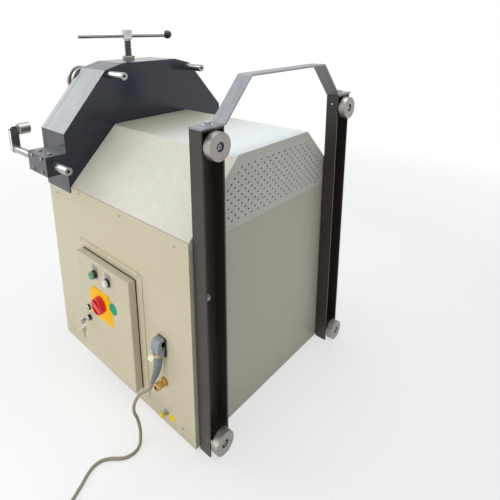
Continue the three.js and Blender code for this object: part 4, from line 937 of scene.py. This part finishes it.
def shaft(rear):
    """From the shoulder at height 0 forwards to the nose, and back to the rear end."""
    nose = SEAT * 2 + ROLLER_WIDTH + 24
    return Shape().turned([
        (0, -rear), (19, -rear), (20, 1 - rear), (20, 0), (15, 0), (15, nose - 2), (14.4, nose - 0.6),
        (13, nose), (5, nose), (4, nose - 3), (0, nose - 6),
    ])


def ring_nut():
    """A round nut with six slots for a hook spanner."""
    outline = []
    for i in range(72):
        a = i * 2 * math.pi / 72
        r = 22.5 if i % 12 in (0, 1) else 25
        outline.append((r * math.cos(a), r * math.sin(a)))
    bore = circle(15.2, 72)
    levels = [(bore, 0), (outline, 0), (outline, 14.8), (inset(outline, 1.2), 16), (bore, 16)]
    return Shape().stack(levels, closed=True)


roll_places = [
    ("left", -ROLL_X, LOWER_Z, "left_roll", 178), ("right", ROLL_X, LOWER_Z, "right_roll", 178),
    ("upper", 0, UPPER_Z, "upper_roll", 167),
]
for roll_name, x, z, body, rear in roll_places:
    at = placed(x, SHOULDER - SEAT, z, "-Y")
    piece(f"{roll_name}_roller", roller(15.3), "ringed_steel", body, at, [f"roller_{roll_name}"])
    piece(f"{roll_name}_shaft", shaft(rear), "ringed_steel", body, placed(x, SHOULDER, z, "-Y"),
          [f"shaft_{roll_name}"])
    nut_at = placed(x, SHOULDER - SEAT * 2 - ROLLER_WIDTH, z, "-Y")
    piece(f"{roll_name}_nut", ring_nut(), "bare_steel", body, nut_at)
for side_name, side in SIDES:
    piece(f"spare_{side_name}", roller(14.4), "ringed_steel", "frame",
          placed(side * SPARE_X, HEAD_FRONT - SEAT, SPARE_Z, "-Y"), [f"spare_roller_{side_name}"])
    cap = Shape().turned([
        (20.6, 0), (46, 0), (46, 7.6), (45.4, 9.4), (43.6, CAP_THICK), (29, CAP_THICK), (28, 8.8),
        (20.6, 8.8),
    ], closed=True)
    piece(f"cap_{side_name}", cap, "ringed_steel", "frame",
          placed(side * ROLL_X, HEAD_FRONT - SEAT, LOWER_Z, "-Y"), [f"bearing_cap_{side_name}"])

# Side guides: bar with its arm and pin, guide roller, set screws

GUIDE_X = 426
GUIDE_Z = 780
ARM_FRONT = -553
ARM_BACK = -539
ARM_TOP = 92
ARM_HALF = 17
GUIDE_REAR = HEAD_REAR + 94.7
for side_name, side in SIDES:
    guide = Shape().turned(peg(GUIDE_REAR - ARM_BACK), placed(side * GUIDE_X, ARM_BACK, GUIDE_Z, "Y"))
    arm_middle = GUIDE_Z + (ARM_TOP - ARM_HALF) / 2
    guide.prism(rounded(2 * ARM_HALF, ARM_TOP + ARM_HALF, 16.9, 8), 0, ARM_BACK - ARM_FRONT,
                placed(side * GUIDE_X, ARM_BACK, arm_middle, "-Y"), edge=1.5, foot=1.5)
    pin_y, pin_z = (ARM_FRONT + ARM_BACK) / 2, GUIDE_Z + ARM_TOP - ARM_HALF
    pin_at = placed(side * GUIDE_X, pin_y, pin_z, outward(-side))
    guide.turned([(0, 16), (6.9, 16), (6.9, 58.5), (5.6, 60), (0, 60)], pin_at, 32)
    piece(f"bar_{side_name}", guide, "drawn_steel_y", f"guide_{side_name}",
          stands_for=[f"guide_bar_{side_name}"])
    wheel = Shape().turned([
        (7.4, 17.4), (20.5, 17.4), (22, 18.9), (22, 57.6), (20.5, 59.1), (10, 59.1), (9, 58.1),
        (7.4, 58.1),
    ], closed=True)
    piece(f"wheel_{side_name}", wheel, "ringed_steel", f"guide_roll_{side_name}", pin_at,
          [f"guide_roller_{side_name}"])
SET_SCREW_Y = (-325, -255)
BLOCK_UP = 35
BLOCK_OUT = 30
set_screws = Shape()
for side in (-1, 1):
    for y in SET_SCREW_Y:
        socket_screw(set_screws, placed(side * GUIDE_X, y, GUIDE_Z + BLOCK_UP, "Z"), 14, 5, 7)
        for z in (GUIDE_Z - 24, GUIDE_Z + 24):
            block_at = placed(side * (GUIDE_X + BLOCK_OUT), y, z, outward(side))
            socket_screw(set_screws, block_at, 13, 4, 7)
piece("guide_screws", set_screws, "bare_steel", "frame")

# Control box: door with its plates, a black seal that also stands in for the shade in the door's gap,
# flange screws

DOOR_FACE = 412
DOOR_BACK = 387
DOOR_Y = (-165, 150)
DOOR_Z = (64, 476)
DOOR_SHEET = 2
DOOR_FOLD = 3.5
FLANGE_FACE = 382.3


def on_door(y, z, turn=0):
    return placed(DOOR_FACE, y, z, "X", turn)


def door_pan():
    """A folded pan with round outer folds, open at its back."""
    wide, tall = DOOR_Y[1] - DOOR_Y[0], DOOR_Z[1] - DOOR_Z[0]
    deep = DOOR_FACE - DOOR_BACK
    outline = rounded(wide, tall, DOOR_FOLD)
    levels = [(-deep, 0), *rounding(0, DOOR_FOLD, 4)]
    inner = rounded(wide - 2 * DOOR_SHEET, tall - 2 * DOOR_SHEET, 1.6)
    pan = Shape().stack([*((inset(outline, d), z) for z, d in levels), ([(0, 0)], 0)])
    room = Shape().stack([(inner, -DOOR_SHEET), (inner, -deep - 5)])
    return pan, room


door_at = on_door(sum(DOOR_Y) / 2, sum(DOOR_Z) / 2)
pan, room = door_pan()
piece("door", pan, "beige_paint", "door", door_at, ["box_door"], cutters=[room])

# A black rubber seal that fills the whole gap between door and flange: partly a real seal, partly a dark
# sheet that stands in for the shade in that gap.
seal_shade_outline = rounded(DOOR_Y[1] - DOOR_Y[0] - 1, DOOR_Z[1] - DOOR_Z[0] - 1, 3)
seal_shade_inner = inset(seal_shade_outline, 1.6)
seal_and_gap_shade = Shape().stack([
    (seal_shade_outline, 0), (seal_shade_outline, 4.4), (seal_shade_inner, 4.4), (seal_shade_inner, 0)], closed=True)
seal_shade_at = placed(FLANGE_FACE, sum(DOOR_Y) / 2, sum(DOOR_Z) / 2, "X")
piece("door_seal_and_gap_shade", seal_and_gap_shade, "black_rubber", "frame", seal_shade_at)

BUTTON_Y = -44
LAMP_Y = 33
BUTTON_Z = 430
legends = Shape()
bezels = Shape()
for y in (BUTTON_Y, LAMP_Y):
    legends.prism(rounded(32, 48, 2), 0, 1, on_door(y, BUTTON_Z + 8), edge=0.3)
    bezels.turned([
        (11.4, 1), (14.75, 1), (14.75, 7.6), (14.2, 8.7), (13.2, 9), (12.2, 9), (11.4, 8.2),
    ], on_door(y, BUTTON_Z), closed=True)
piece("legend_plates", legends, "legend_plate", "door")
piece("bezels", bezels, "black_plastic", "door")

button_at = placed(DOOR_FACE, BUTTON_Y, BUTTON_Z, "X")
button = Shape().turned([
    (0, 5.3), (11, 5.3), (11, 13.4), (12.6, 13.4), (12.6, 18.2), (12, 18.9), (8, 18.5), (0, 18.3),
])
piece("button", button, "green_button", "button", button_at, ["start_button"])
button_rim = Shape().turned([
    (12.7, 13.4), (13.8, 13.4), (13.8, 18.6), (13.3, 19), (12.7, 18.6),
], closed=True)
piece("button_rim", button_rim, "legend_plate", "button", button_at)

LENS = 13.2
LENS_FOOT = 12
LENS_TALL = 8
lens_turns = [math.radians(a) for a in range(10, 90, 10)]
lamp = Shape().turned([
    (0, 1.3), (11, 1.3), (11, 8.6), (LENS, 9.2), (LENS, LENS_FOOT),
    *((LENS * math.cos(a), LENS_FOOT + LENS_TALL * math.sin(a)) for a in lens_turns),
    (0, LENS_FOOT + LENS_TALL)])
piece("lamp", lamp, "lamp_lens", "door", on_door(LAMP_Y, BUTTON_Z), ["pilot_lamp"])

SWITCH_Y = -22
SWITCH_Z = 322
SWITCH_PLATE = 104
SWITCH_PLATE_THICK = 2
BACK_PLATE = (141, 100)
BACK_PLATE_AT = (-24.5, 308)
ROUND_PLATE_AT = (51, 338)
switch_plate = Shape().prism(
    rounded(SWITCH_PLATE, SWITCH_PLATE, 3), 0, SWITCH_PLATE_THICK, on_door(SWITCH_Y, SWITCH_Z), edge=0.5)
piece("switch_plate", switch_plate, "yellow_plate", "door")
label = Shape().prism(rounded(*BACK_PLATE, 2), 0, 0.5, on_door(*BACK_PLATE_AT), edge=0.2)
piece("label_plate", label, "yellow_plate", "door")
round_plate = Shape().turned(
    [(0, 0), (21.5, 0), (21.5, 0.5), (21.2, 0.7), (0, 0.7)], on_door(*ROUND_PLATE_AT), 64)
piece("round_plate", round_plate, "teal_plate", "door")
plate_screws = Shape()
for y in (SWITCH_Y - 44, SWITCH_Y + 44):
    for z in (SWITCH_Z - 44, SWITCH_Z + 44):
        pan_screw(plate_screws, placed(DOOR_FACE + SWITCH_PLATE_THICK, y, z, "X"), 5, 1.6)
piece("plate_screws", plate_screws, "zinc_steel", "door")

# Main switch: a dial whose grip stands between two recesses

KNOB = 30
KNOB_TALL = 21
GRIP_HALF = 10
GRIP_TURN = -22


def recess(side):
    """Half of the dial's floor beside the grip, as a cutter."""
    r = KNOB - 4
    first = math.asin((GRIP_HALF + 1) / r)
    arc = [first + (math.pi - 2 * first) * i / 20 for i in range(21)]
    outline = [(r * math.cos(a) * side, r * math.sin(a) * side) for a in arc]
    return Shape().prism(inset(outline, 0.4), KNOB_TALL - 12, KNOB_TALL + 2)


knob_at = placed(DOOR_FACE + 2.3, SWITCH_Y, SWITCH_Z, "X", GRIP_TURN)
knob = Shape().turned([
    (0, 0), (KNOB - 0.6, 0), (KNOB, 0.6), (KNOB, KNOB_TALL - 3.4), (KNOB - 0.5, KNOB_TALL - 1.5),
    (KNOB - 1.6, KNOB_TALL - 0.4), (KNOB - 3, KNOB_TALL), (0, KNOB_TALL),
], sides=72)
piece("knob", knob, "red_knob", "switch_knob", knob_at, ["main_switch_knob"],
      cutters=[recess(1), recess(-1)])

# Cam locks, with the key, its ring and the second key in the lower one

LOCK_Y = -112
LOCK_HIGH = 268
LOCK_LOW = 226
lock_bodies = Shape()
lock_faces = Shape()
for z, tall in ((LOCK_HIGH, 8), (LOCK_LOW, 12)):
    at = on_door(LOCK_Y, z)
    rim = tall - 2
    lock_bodies.turned([(9, 0), (11, 0), (11, 2.4), (10, 3.2), (10, rim), (9, rim)], at, closed=True)
    hole = 6.3 if z == LOCK_LOW else 1.2
    lock_faces.turned([
        (hole, 2.5), (8.9, 2.5), (8.9, tall - 1), (8.2, tall), (hole + 0.4, tall), (hole, tall - 0.6),
    ], at, closed=True)
piece("lock_bodies", lock_bodies, "black_plastic", "door")
piece("lock_faces", lock_faces, "chrome", "door")

key_at = placed(0, LOCK_Y, 0, "-Y")
KEY_THICK = 2.4


def key_plate(top, low, x, hole_z):
    """A flat key on its side: a bow with a round hole, and the outline of its blade."""
    bow = [(x + u, (top + low) / 2 + v) for u, v in rounded(16, top - low, 7, 5)]
    plate = Shape().prism(bow, -KEY_THICK / 2, KEY_THICK / 2, key_at, edge=0.4, foot=0.4)
    hole = Shape().turned([(0, -5), (2.2, -5), (2.2, 5), (0, 5)], placed(x, LOCK_Y, hole_z, "-Y"), 20)
    return plate, hole


plug = Shape().turned([(0, 2.3), (6, 2.3), (6, 12.4), (5.4, 13), (0, 13)], on_door(LOCK_Y, LOCK_LOW))
low, high = LOCK_LOW - 4, LOCK_LOW + 4
plug.prism([(424, low), (435, low), (435, high), (424, high)], -KEY_THICK / 2, KEY_THICK / 2, key_at)
piece("key_plug", plug, "chrome", "key", stands_for=["door_key"])
KEY_X = 440
KEY_HOLE = 7  # from the lock's middle down to the bow's hole
RING = 11
bow, hole = key_plate(LOCK_LOW + 12, LOCK_LOW - 12, KEY_X, LOCK_LOW - KEY_HOLE)
piece("key_bow", bow, "chrome", "key", cutters=[hole])
ring_middle = LOCK_LOW - KEY_HOLE - RING
ring_profile = [(RING + u, v) for u, v in circle(0.9, 10)]
ring = Shape().turned(ring_profile, placed(KEY_X, LOCK_Y, ring_middle, "X"), 40, closed=True)
piece("key_ring", ring, "chrome", "key")
top = ring_middle - RING + 3.5
spare, hole = key_plate(top, top - 20, KEY_X, top - 3.5)
spare.prism([(437, top - 43), (441, top - 45), (443, top - 43), (443, top - 18), (437, top - 18)],
            -1, 1, key_at, edge=0.3)
piece("spare_key", spare, "chrome", "key", cutters=[hole])

# Screws of the flange, side panels and rear panels

FLANGE_SCREW = 1.7  # low enough for the open door to pass over them
FLANGE_PLACES = [(y, z) for y in (-186, -13, 165) for z in (497, 42)] + [(-186, 250), (164, 250)]
SIDE_PLACES = ((343, 662), (82, 671), (-166, 677), (343, 40), (-330, 40), (-330, 640))
REAR_PLACES = ((240, 622), (240, 60), (240, 686))
FRONT_PLACES = ((340, 620), (340, 60))
REAR = 400
FRONT = -386
panel_screws = Shape()
for y, z in FLANGE_PLACES:
    pan_screw(panel_screws, placed(FLANGE_FACE, y, z, "X"), 8, FLANGE_SCREW)
for side in (-1, 1):
    for y, z in SIDE_PLACES:
        pan_screw(panel_screws, placed(side * WALL, y, z, outward(side)), 9, 3)
    for x, z in REAR_PLACES:
        pan_screw(panel_screws, placed(side * x, REAR, z, "Y"), 9, 3)
    for x, z in FRONT_PLACES:
        pan_screw(panel_screws, placed(side * x, FRONT, z, "-Y"), 9, 3)
piece("panel_screws", panel_screws, "zinc_steel", "frame")

# Connector hood with its cable entry, strain relief, gland and earth stud

OUTLET_Y = 265
HOOD_HALF = 17
HOOD_BACK = 384.6
HOOD_FACE = 411.3
HOOD_RIBS = ((293, 299, 1.2), (303, 307, 0.8))
hood_at = placed(0, OUTLET_Y, 0, "-Y")
hood = Shape().prism([
    (HOOD_BACK, 290), (387, 278), (407, 278), (HOOD_FACE, 297), (HOOD_FACE, 322), (402, 332),
    (HOOD_BACK, 332),
], -HOOD_HALF, HOOD_HALF, hood_at, edge=2.2, foot=2.2)
for low, high, proud in HOOD_RIBS:
    face, half = HOOD_FACE + proud, HOOD_HALF + proud
    hood.prism([(HOOD_BACK, low), (HOOD_FACE, low), (face, low + 1), (face, high), (HOOD_BACK, high)],
               -half, half, hood_at, edge=0.7, foot=0.7)
piece("hood", hood, "hood_grey", "frame", stands_for=["connector_hood"])

RELIEF_TOP = Vector((408.4, 264, 247.2))
RELIEF_HIDDEN = 33  # above that point, within the hood
relief_end = Vector(cable_path[0]) / MM
relief_way = (relief_end - RELIEF_TOP).normalized()
relief_start = RELIEF_TOP - relief_way * RELIEF_HIDDEN
hood_screws = Shape()
for y in (OUTLET_Y - 9.5, OUTLET_Y + 9.5):
    pan_screw(hood_screws, placed(409.5, y, 288, "X"), 7.5, 3.4)
piece("hood_screws", hood_screws, "zinc_steel", "frame")
entry_ring = Shape().turned(
    [(0, -3), (14.4, -3), (15, -2.2), (15, 2.2), (14.4, 3), (0, 3)],
    placed(*(relief_start + relief_way * 1.5), tuple(relief_way)), 40)
piece("entry_ring", entry_ring, "brass", "frame")
TAG_FACING = (0.75, 0.2, 0.63)
tag_at = placed(417, 251, 270, TAG_FACING, -14)
tag = Shape().prism(rounded(19, 16, 1), -0.6, 0.6, tag_at, edge=0.3)
piece("cable_tag", tag, "cream_tag", "frame")

RELIEF_RIBS = 12
RELIEF_STEPS = 110
RELIEF_BEND = Vector((-4, 5, 0))


def relief_sleeve():
    """Sleeve and boot in one: shallow ribs on a taper, which bends a little at its end."""
    path, radii = [], []
    for i in range(RELIEF_STEPS + 1):
        share = i / RELIEF_STEPS
        point = relief_start.lerp(relief_end - relief_way * SEAT, share)
        path.append(point + RELIEF_BEND * math.sin(math.pi * share))
        waist = 14.3 - 2 * min(1, share / 0.5) - max(0, share - 0.5) / 0.5 * 5.9
        rib = max(0, math.sin(share * 2 * math.pi * RELIEF_RIBS)) if 0.3 < share < 0.95 else 0
        radii.append(waist - 1.5 * rib)
    return Shape().sweep(path, radii)


piece("relief", relief_sleeve(), "grey_rubber", "frame", stands_for=["strain_relief"])

GLAND_Z = 166
gland_at = placed(WALL + SEAT, OUTLET_Y, GLAND_Z, "X")
gland = Shape().turned([(0, -12), (9.6, -12), (9.6, 0.5), (15, 0.5), (15, 1.8), (0, 1.8)], gland_at, 40)
gland.prism(hexagon(26), 1.8, 9.5, gland_at, edge=1.2, foot=0.6)
gland.turned([(0, 9), (11.2, 9), (11.2, 11), (10.4, 11.6), (11.2, 12.4), (10.4, 13.2), (11.2, 14),
              (10.4, 14.8), (11.2, 15.6), (11.2, 17), (0, 17)], gland_at, 40)
gland_nut = Shape().stack([
    (hexagon(23), 17), (hexagon(23.6), 17.6), (hexagon(23.6), 27),
    *((circle(r, 24), z) for r, z in ((12, 29), (11.4, 34), (9.8, 36), (6.4, 36), (6, 34), (6, 22))),
], gland_at)
piece("gland", gland, "brass", "frame", stands_for=["cable_gland"])
piece("gland_nut", gland_nut, "brass", "frame")

EARTH_Z = 47
EARTH_PLATE = (16, 12)
EARTH_PLATE_AT = (291, 41)
earth_at = placed(WALL, OUTLET_Y, EARTH_Z, "X")
earth = Shape().turned([(0, 0.1), (11, 0.1), (11, 1.2), (10.5, 1.6), (0, 1.6)], earth_at, 32)
earth.prism(hexagon(15.8), 1.6, 8.6, earth_at, edge=0.9)
earth.turned([(0, 8), (4.3, 8), (4.3, 21), (3.4, 22.3), (0, 22.3)], earth_at, 24)
piece("earth_bolt", earth, "zinc_steel", "frame")
earth_tag = Shape().turned([
    (4.4, 14), (8.4, 14), (8.9, 14.6), (8.9, 20.6), (8.2, 21.4), (4.4, 21.4),
], earth_at, 32, closed=True)
piece("earth_tag", earth_tag, "lemon_plate", "frame")
oval = [(x * EARTH_PLATE[0], y * EARTH_PLATE[1]) for x, y in circle(1, 36)]
earth_plate = Shape().prism(oval, 0.05, 0.6, placed(WALL, *EARTH_PLATE_AT, "X"), edge=0.2)
piece("earth_plate", earth_plate, "lemon_plate", "frame")

# Devices in the control box: sheet with two rails, a row of terminals and a row of contactors

PLATE_X = 264.3
PLATE_Y = (-139.7, 124.7)
PLATE_Z = (89.3, 450.7)
TERMINALS_Z = 197.7
CONTACTORS_Z = 349.5
RAIL = 27
RAIL_LIP = 15.5
RAIL_TALL = 10
plate_wide, plate_tall = PLATE_Y[1] - PLATE_Y[0], PLATE_Z[1] - PLATE_Z[0]
plate_middle = sum(PLATE_Y) / 2


def on_plate(z, y=plate_middle, lift=0):
    return placed(PLATE_X + lift, y, z, "X")


back_plate = Shape().prism(rounded(plate_wide, plate_tall, 6), 0, 3, on_plate(sum(PLATE_Z) / 2), edge=0.5)
for z in (TERMINALS_Z, CONTACTORS_Z):
    back_plate.prism(rounded(plate_wide - 20, RAIL, 1), 2.5, 4, on_plate(z))
    for dz in (-RAIL_LIP, RAIL_LIP):
        lip = [(x, y + dz) for x, y in rounded(plate_wide - 20, 4, 0.5)]
        back_plate.prism(lip, 2.5, RAIL_TALL, on_plate(z))
piece("device_plate", back_plate, "zinc_steel", "frame", stands_for=["mounting_plate"])

TERMINALS = 20
TERMINAL_PITCH = 9.5
TERMINAL_STEP = 60
CONTACTORS = 3
CONTACTOR_PITCH = 45.3
CONTACTOR_FACE = 72
terminals = Shape()
terminal_screws = Shape()
for i in range(TERMINALS):
    y = plate_middle + (i - (TERMINALS - 1) / 2) * TERMINAL_PITCH
    at = on_plate(TERMINALS_Z, y)
    terminals.prism(rounded(TERMINAL_PITCH - 0.5, 66, 1), 9, TERMINAL_STEP, at, edge=0.8)
    terminals.prism(rounded(TERMINAL_PITCH - 0.5, 38, 1), TERMINAL_STEP - 1, 84, at, edge=0.8)
    for z in (TERMINALS_Z - 26, TERMINALS_Z + 26):
        pan_screw(terminal_screws, on_plate(z, y, TERMINAL_STEP), 6, 1.6)
piece("terminals", terminals, "grey_plastic", "frame")
contactors = Shape()
contactor_noses = Shape()
for i in range(CONTACTORS):
    middle = plate_middle + (i - (CONTACTORS - 1) / 2) * CONTACTOR_PITCH
    at = on_plate(CONTACTORS_Z, middle)
    contactors.prism(rounded(44.6, 67, 2), 9, CONTACTOR_FACE, at, edge=1.5, foot=1)
    contactor_noses.prism(rounded(38, 39, 3), CONTACTOR_FACE - 0.5, 85, at, edge=1.5)
    for y in (middle - 14, middle, middle + 14):
        for z in (CONTACTORS_Z - 27, CONTACTORS_Z + 27):
            pan_screw(terminal_screws, on_plate(z, y, CONTACTOR_FACE), 8, 1.6)
piece("contactors", contactors, "black_plastic", "frame")
piece("contactor_noses", contactor_noses, "grey_plastic", "frame")
piece("terminal_screws", terminal_screws, "brass", "frame")

# Foot switch: ribbed mats on the treadles, screws of the housing, a rubber boot on the cable's end

PEDAL_PLACE = (784.262, 297.598)
PEDAL_TURN = 26.6
MAT_MIDDLE = 195
MAT_FOOT = 35.9
MAT_TOP = 37.4
MAT_RIBS = 11
MAT_RIB_PITCH = 8
BOOT_RIBS = 9
pedal_spin = Matrix.Rotation(math.radians(PEDAL_TURN), 4, "Z")
pedal_at = Matrix.Translation((*PEDAL_PLACE, 0)) @ pedal_spin


def mat_bar(x, y, wide, tall, corner):
    return [(u + x, v + y) for u, v in rounded(wide, tall, corner)]


for side_name, side in SIDES:
    y = -55 * side
    mat = Shape().prism(mat_bar(MAT_MIDDLE, y, 94, 84, 4), MAT_FOOT, MAT_TOP, pedal_at, edge=0.4)
    for i in range(MAT_RIBS):
        x = MAT_MIDDLE + (i - (MAT_RIBS - 1) / 2) * MAT_RIB_PITCH
        mat.prism(mat_bar(x, y, 3.4, 76, 1.2), MAT_TOP - 0.1, MAT_TOP + 1.4, pedal_at, edge=0.6)
    piece(f"tread_{side_name}", mat, "black_rubber", f"foot_{side_name}")
pedal_screws = Shape()
for x in (84, 117):
    for y in (-96, 96):
        pan_screw(pedal_screws, pedal_at @ placed(x, y, 42, "Z"), 8, 2.4)
piece("pedal_screws", pedal_screws, "zinc_steel", "frame")
boot_profile = [(5.2, 0.2)]
for i in range(BOOT_RIBS):
    x = 6 + i * 5.6
    r = 6.2 + i * 0.52
    boot_profile += [(r, x), (r, x + 3), (r - 0.9, x + 3.4), (r - 0.9, x + 5.2)]
boot_profile += [(12.6, 57.4), (13.4, 58), (13.4, 69), (5.2, 69)]
boot = Shape().turned(boot_profile, pedal_at @ placed(0, 0, 15.8, "X"), 36, closed=True)
piece("pedal_boot", boot, "black_rubber", "frame")


# Floor, backdrop and soft studio light

FLOOR_HALF = 12
FLOOR_NEAR = 1.5
FLOOR_FAR = 3.2
FLOOR_SHARE = 0.6
AMBIENT = 0.31


def white_for_camera(tree, shader, out, share=None):
    """Shows plain white to the camera, to reflections and through glass, and the shader to light.

    A share, where one is given, says how much of the white is mixed in at each place.
    """
    path = tree.nodes.new("ShaderNodeLightPath")
    seen = path.outputs["Is Camera Ray"]
    for ray in ("Is Glossy Ray", "Is Transmission Ray"):
        either = tree.nodes.new("ShaderNodeMath")
        either.operation = "MAXIMUM"
        tree.links.new(seen, either.inputs[0])
        tree.links.new(path.outputs[ray], either.inputs[1])
        seen = either.outputs["Value"]
    if share:
        part = tree.nodes.new("ShaderNodeMath")
        part.operation = "MULTIPLY"
        tree.links.new(seen, part.inputs[0])
        tree.links.new(share, part.inputs[1])
        seen = part.outputs["Value"]
    white = tree.nodes.new("ShaderNodeEmission" if share else "ShaderNodeBackground")
    white.inputs["Color"].default_value = (1, 1, 1, 1)
    white.inputs["Strength"].default_value = 1
    mix = tree.nodes.new("ShaderNodeMixShader")
    tree.links.new(seen, mix.inputs["Fac"])
    tree.links.new(shader, mix.inputs[1])
    tree.links.new(white.outputs[0], mix.inputs[2])
    tree.links.new(mix.outputs["Shader"], out)


world = bpy.data.worlds.new("studio")
world.use_nodes = True
scene.world = world
ambient = world.node_tree.nodes["Background"]
ambient.inputs["Color"].default_value = (1, 1, 1, 1)
ambient.inputs["Strength"].default_value = AMBIENT
white_for_camera(
    world.node_tree, ambient.outputs["Background"],
    world.node_tree.nodes["World Output"].inputs["Surface"])

floor_mesh = bpy.data.meshes.new("floor")
floor_mesh.from_pydata(
    [(x * FLOOR_HALF, y * FLOOR_HALF, 0) for x, y in ((-1, -1), (1, -1), (1, 1), (-1, 1))], [],
    [(0, 1, 2, 3)])
floor = bpy.data.objects.new("floor", floor_mesh)
scene.collection.objects.link(floor)
floor_look = Look("floor", (248, 248, 247), 0.7)
floor_look.tint(floor_look.ranged(floor_look.noise(2, 3), 0, 0.2), (243, 243, 241))
floor_mesh.materials.append(floor_look.material)
far = floor_look.node("ShaderNodeVectorMath", operation="LENGTH")
floor_look.link(floor_look.place, far.inputs[0])
white_for_camera(
    floor_look.tree, floor_look.shader.outputs["BSDF"],
    floor_look.tree.nodes["Material Output"].inputs["Surface"],
    floor_look.ranged(far.outputs["Value"], FLOOR_SHARE, 1, FLOOR_NEAR, FLOOR_FAR))


def area_light(name, place, towards, size, watts, color=(1, 1, 1)):
    light = bpy.data.lights.new(name, "AREA")
    light.shape = "RECTANGLE"
    light.size, light.size_y = size
    light.energy = watts
    light.color = color
    obj = bpy.data.objects.new(name, light)
    obj.location = place
    obj.rotation_mode = "QUATERNION"
    obj.rotation_quaternion = (Vector(towards) - Vector(place)).to_track_quat("-Z", "Y")
    scene.collection.objects.link(obj)


area_light("key", (1.5, -3.2, 2.5), (0, 0, 0.6), (2.0, 2.0), 48, (0.94, 1, 1))
area_light("side", (2.2, 0.2, 0.2), (0.38, 0.2, 0.2), (1.2, 0.8), 17, (1, 0.97, 0.9))
area_light("top", (-0.2, 0.0, 3.4), (0, 0, 0.8), (2.0, 2.0), 58, (0.9, 0.96, 1))

scene.view_settings.view_transform = "Standard"
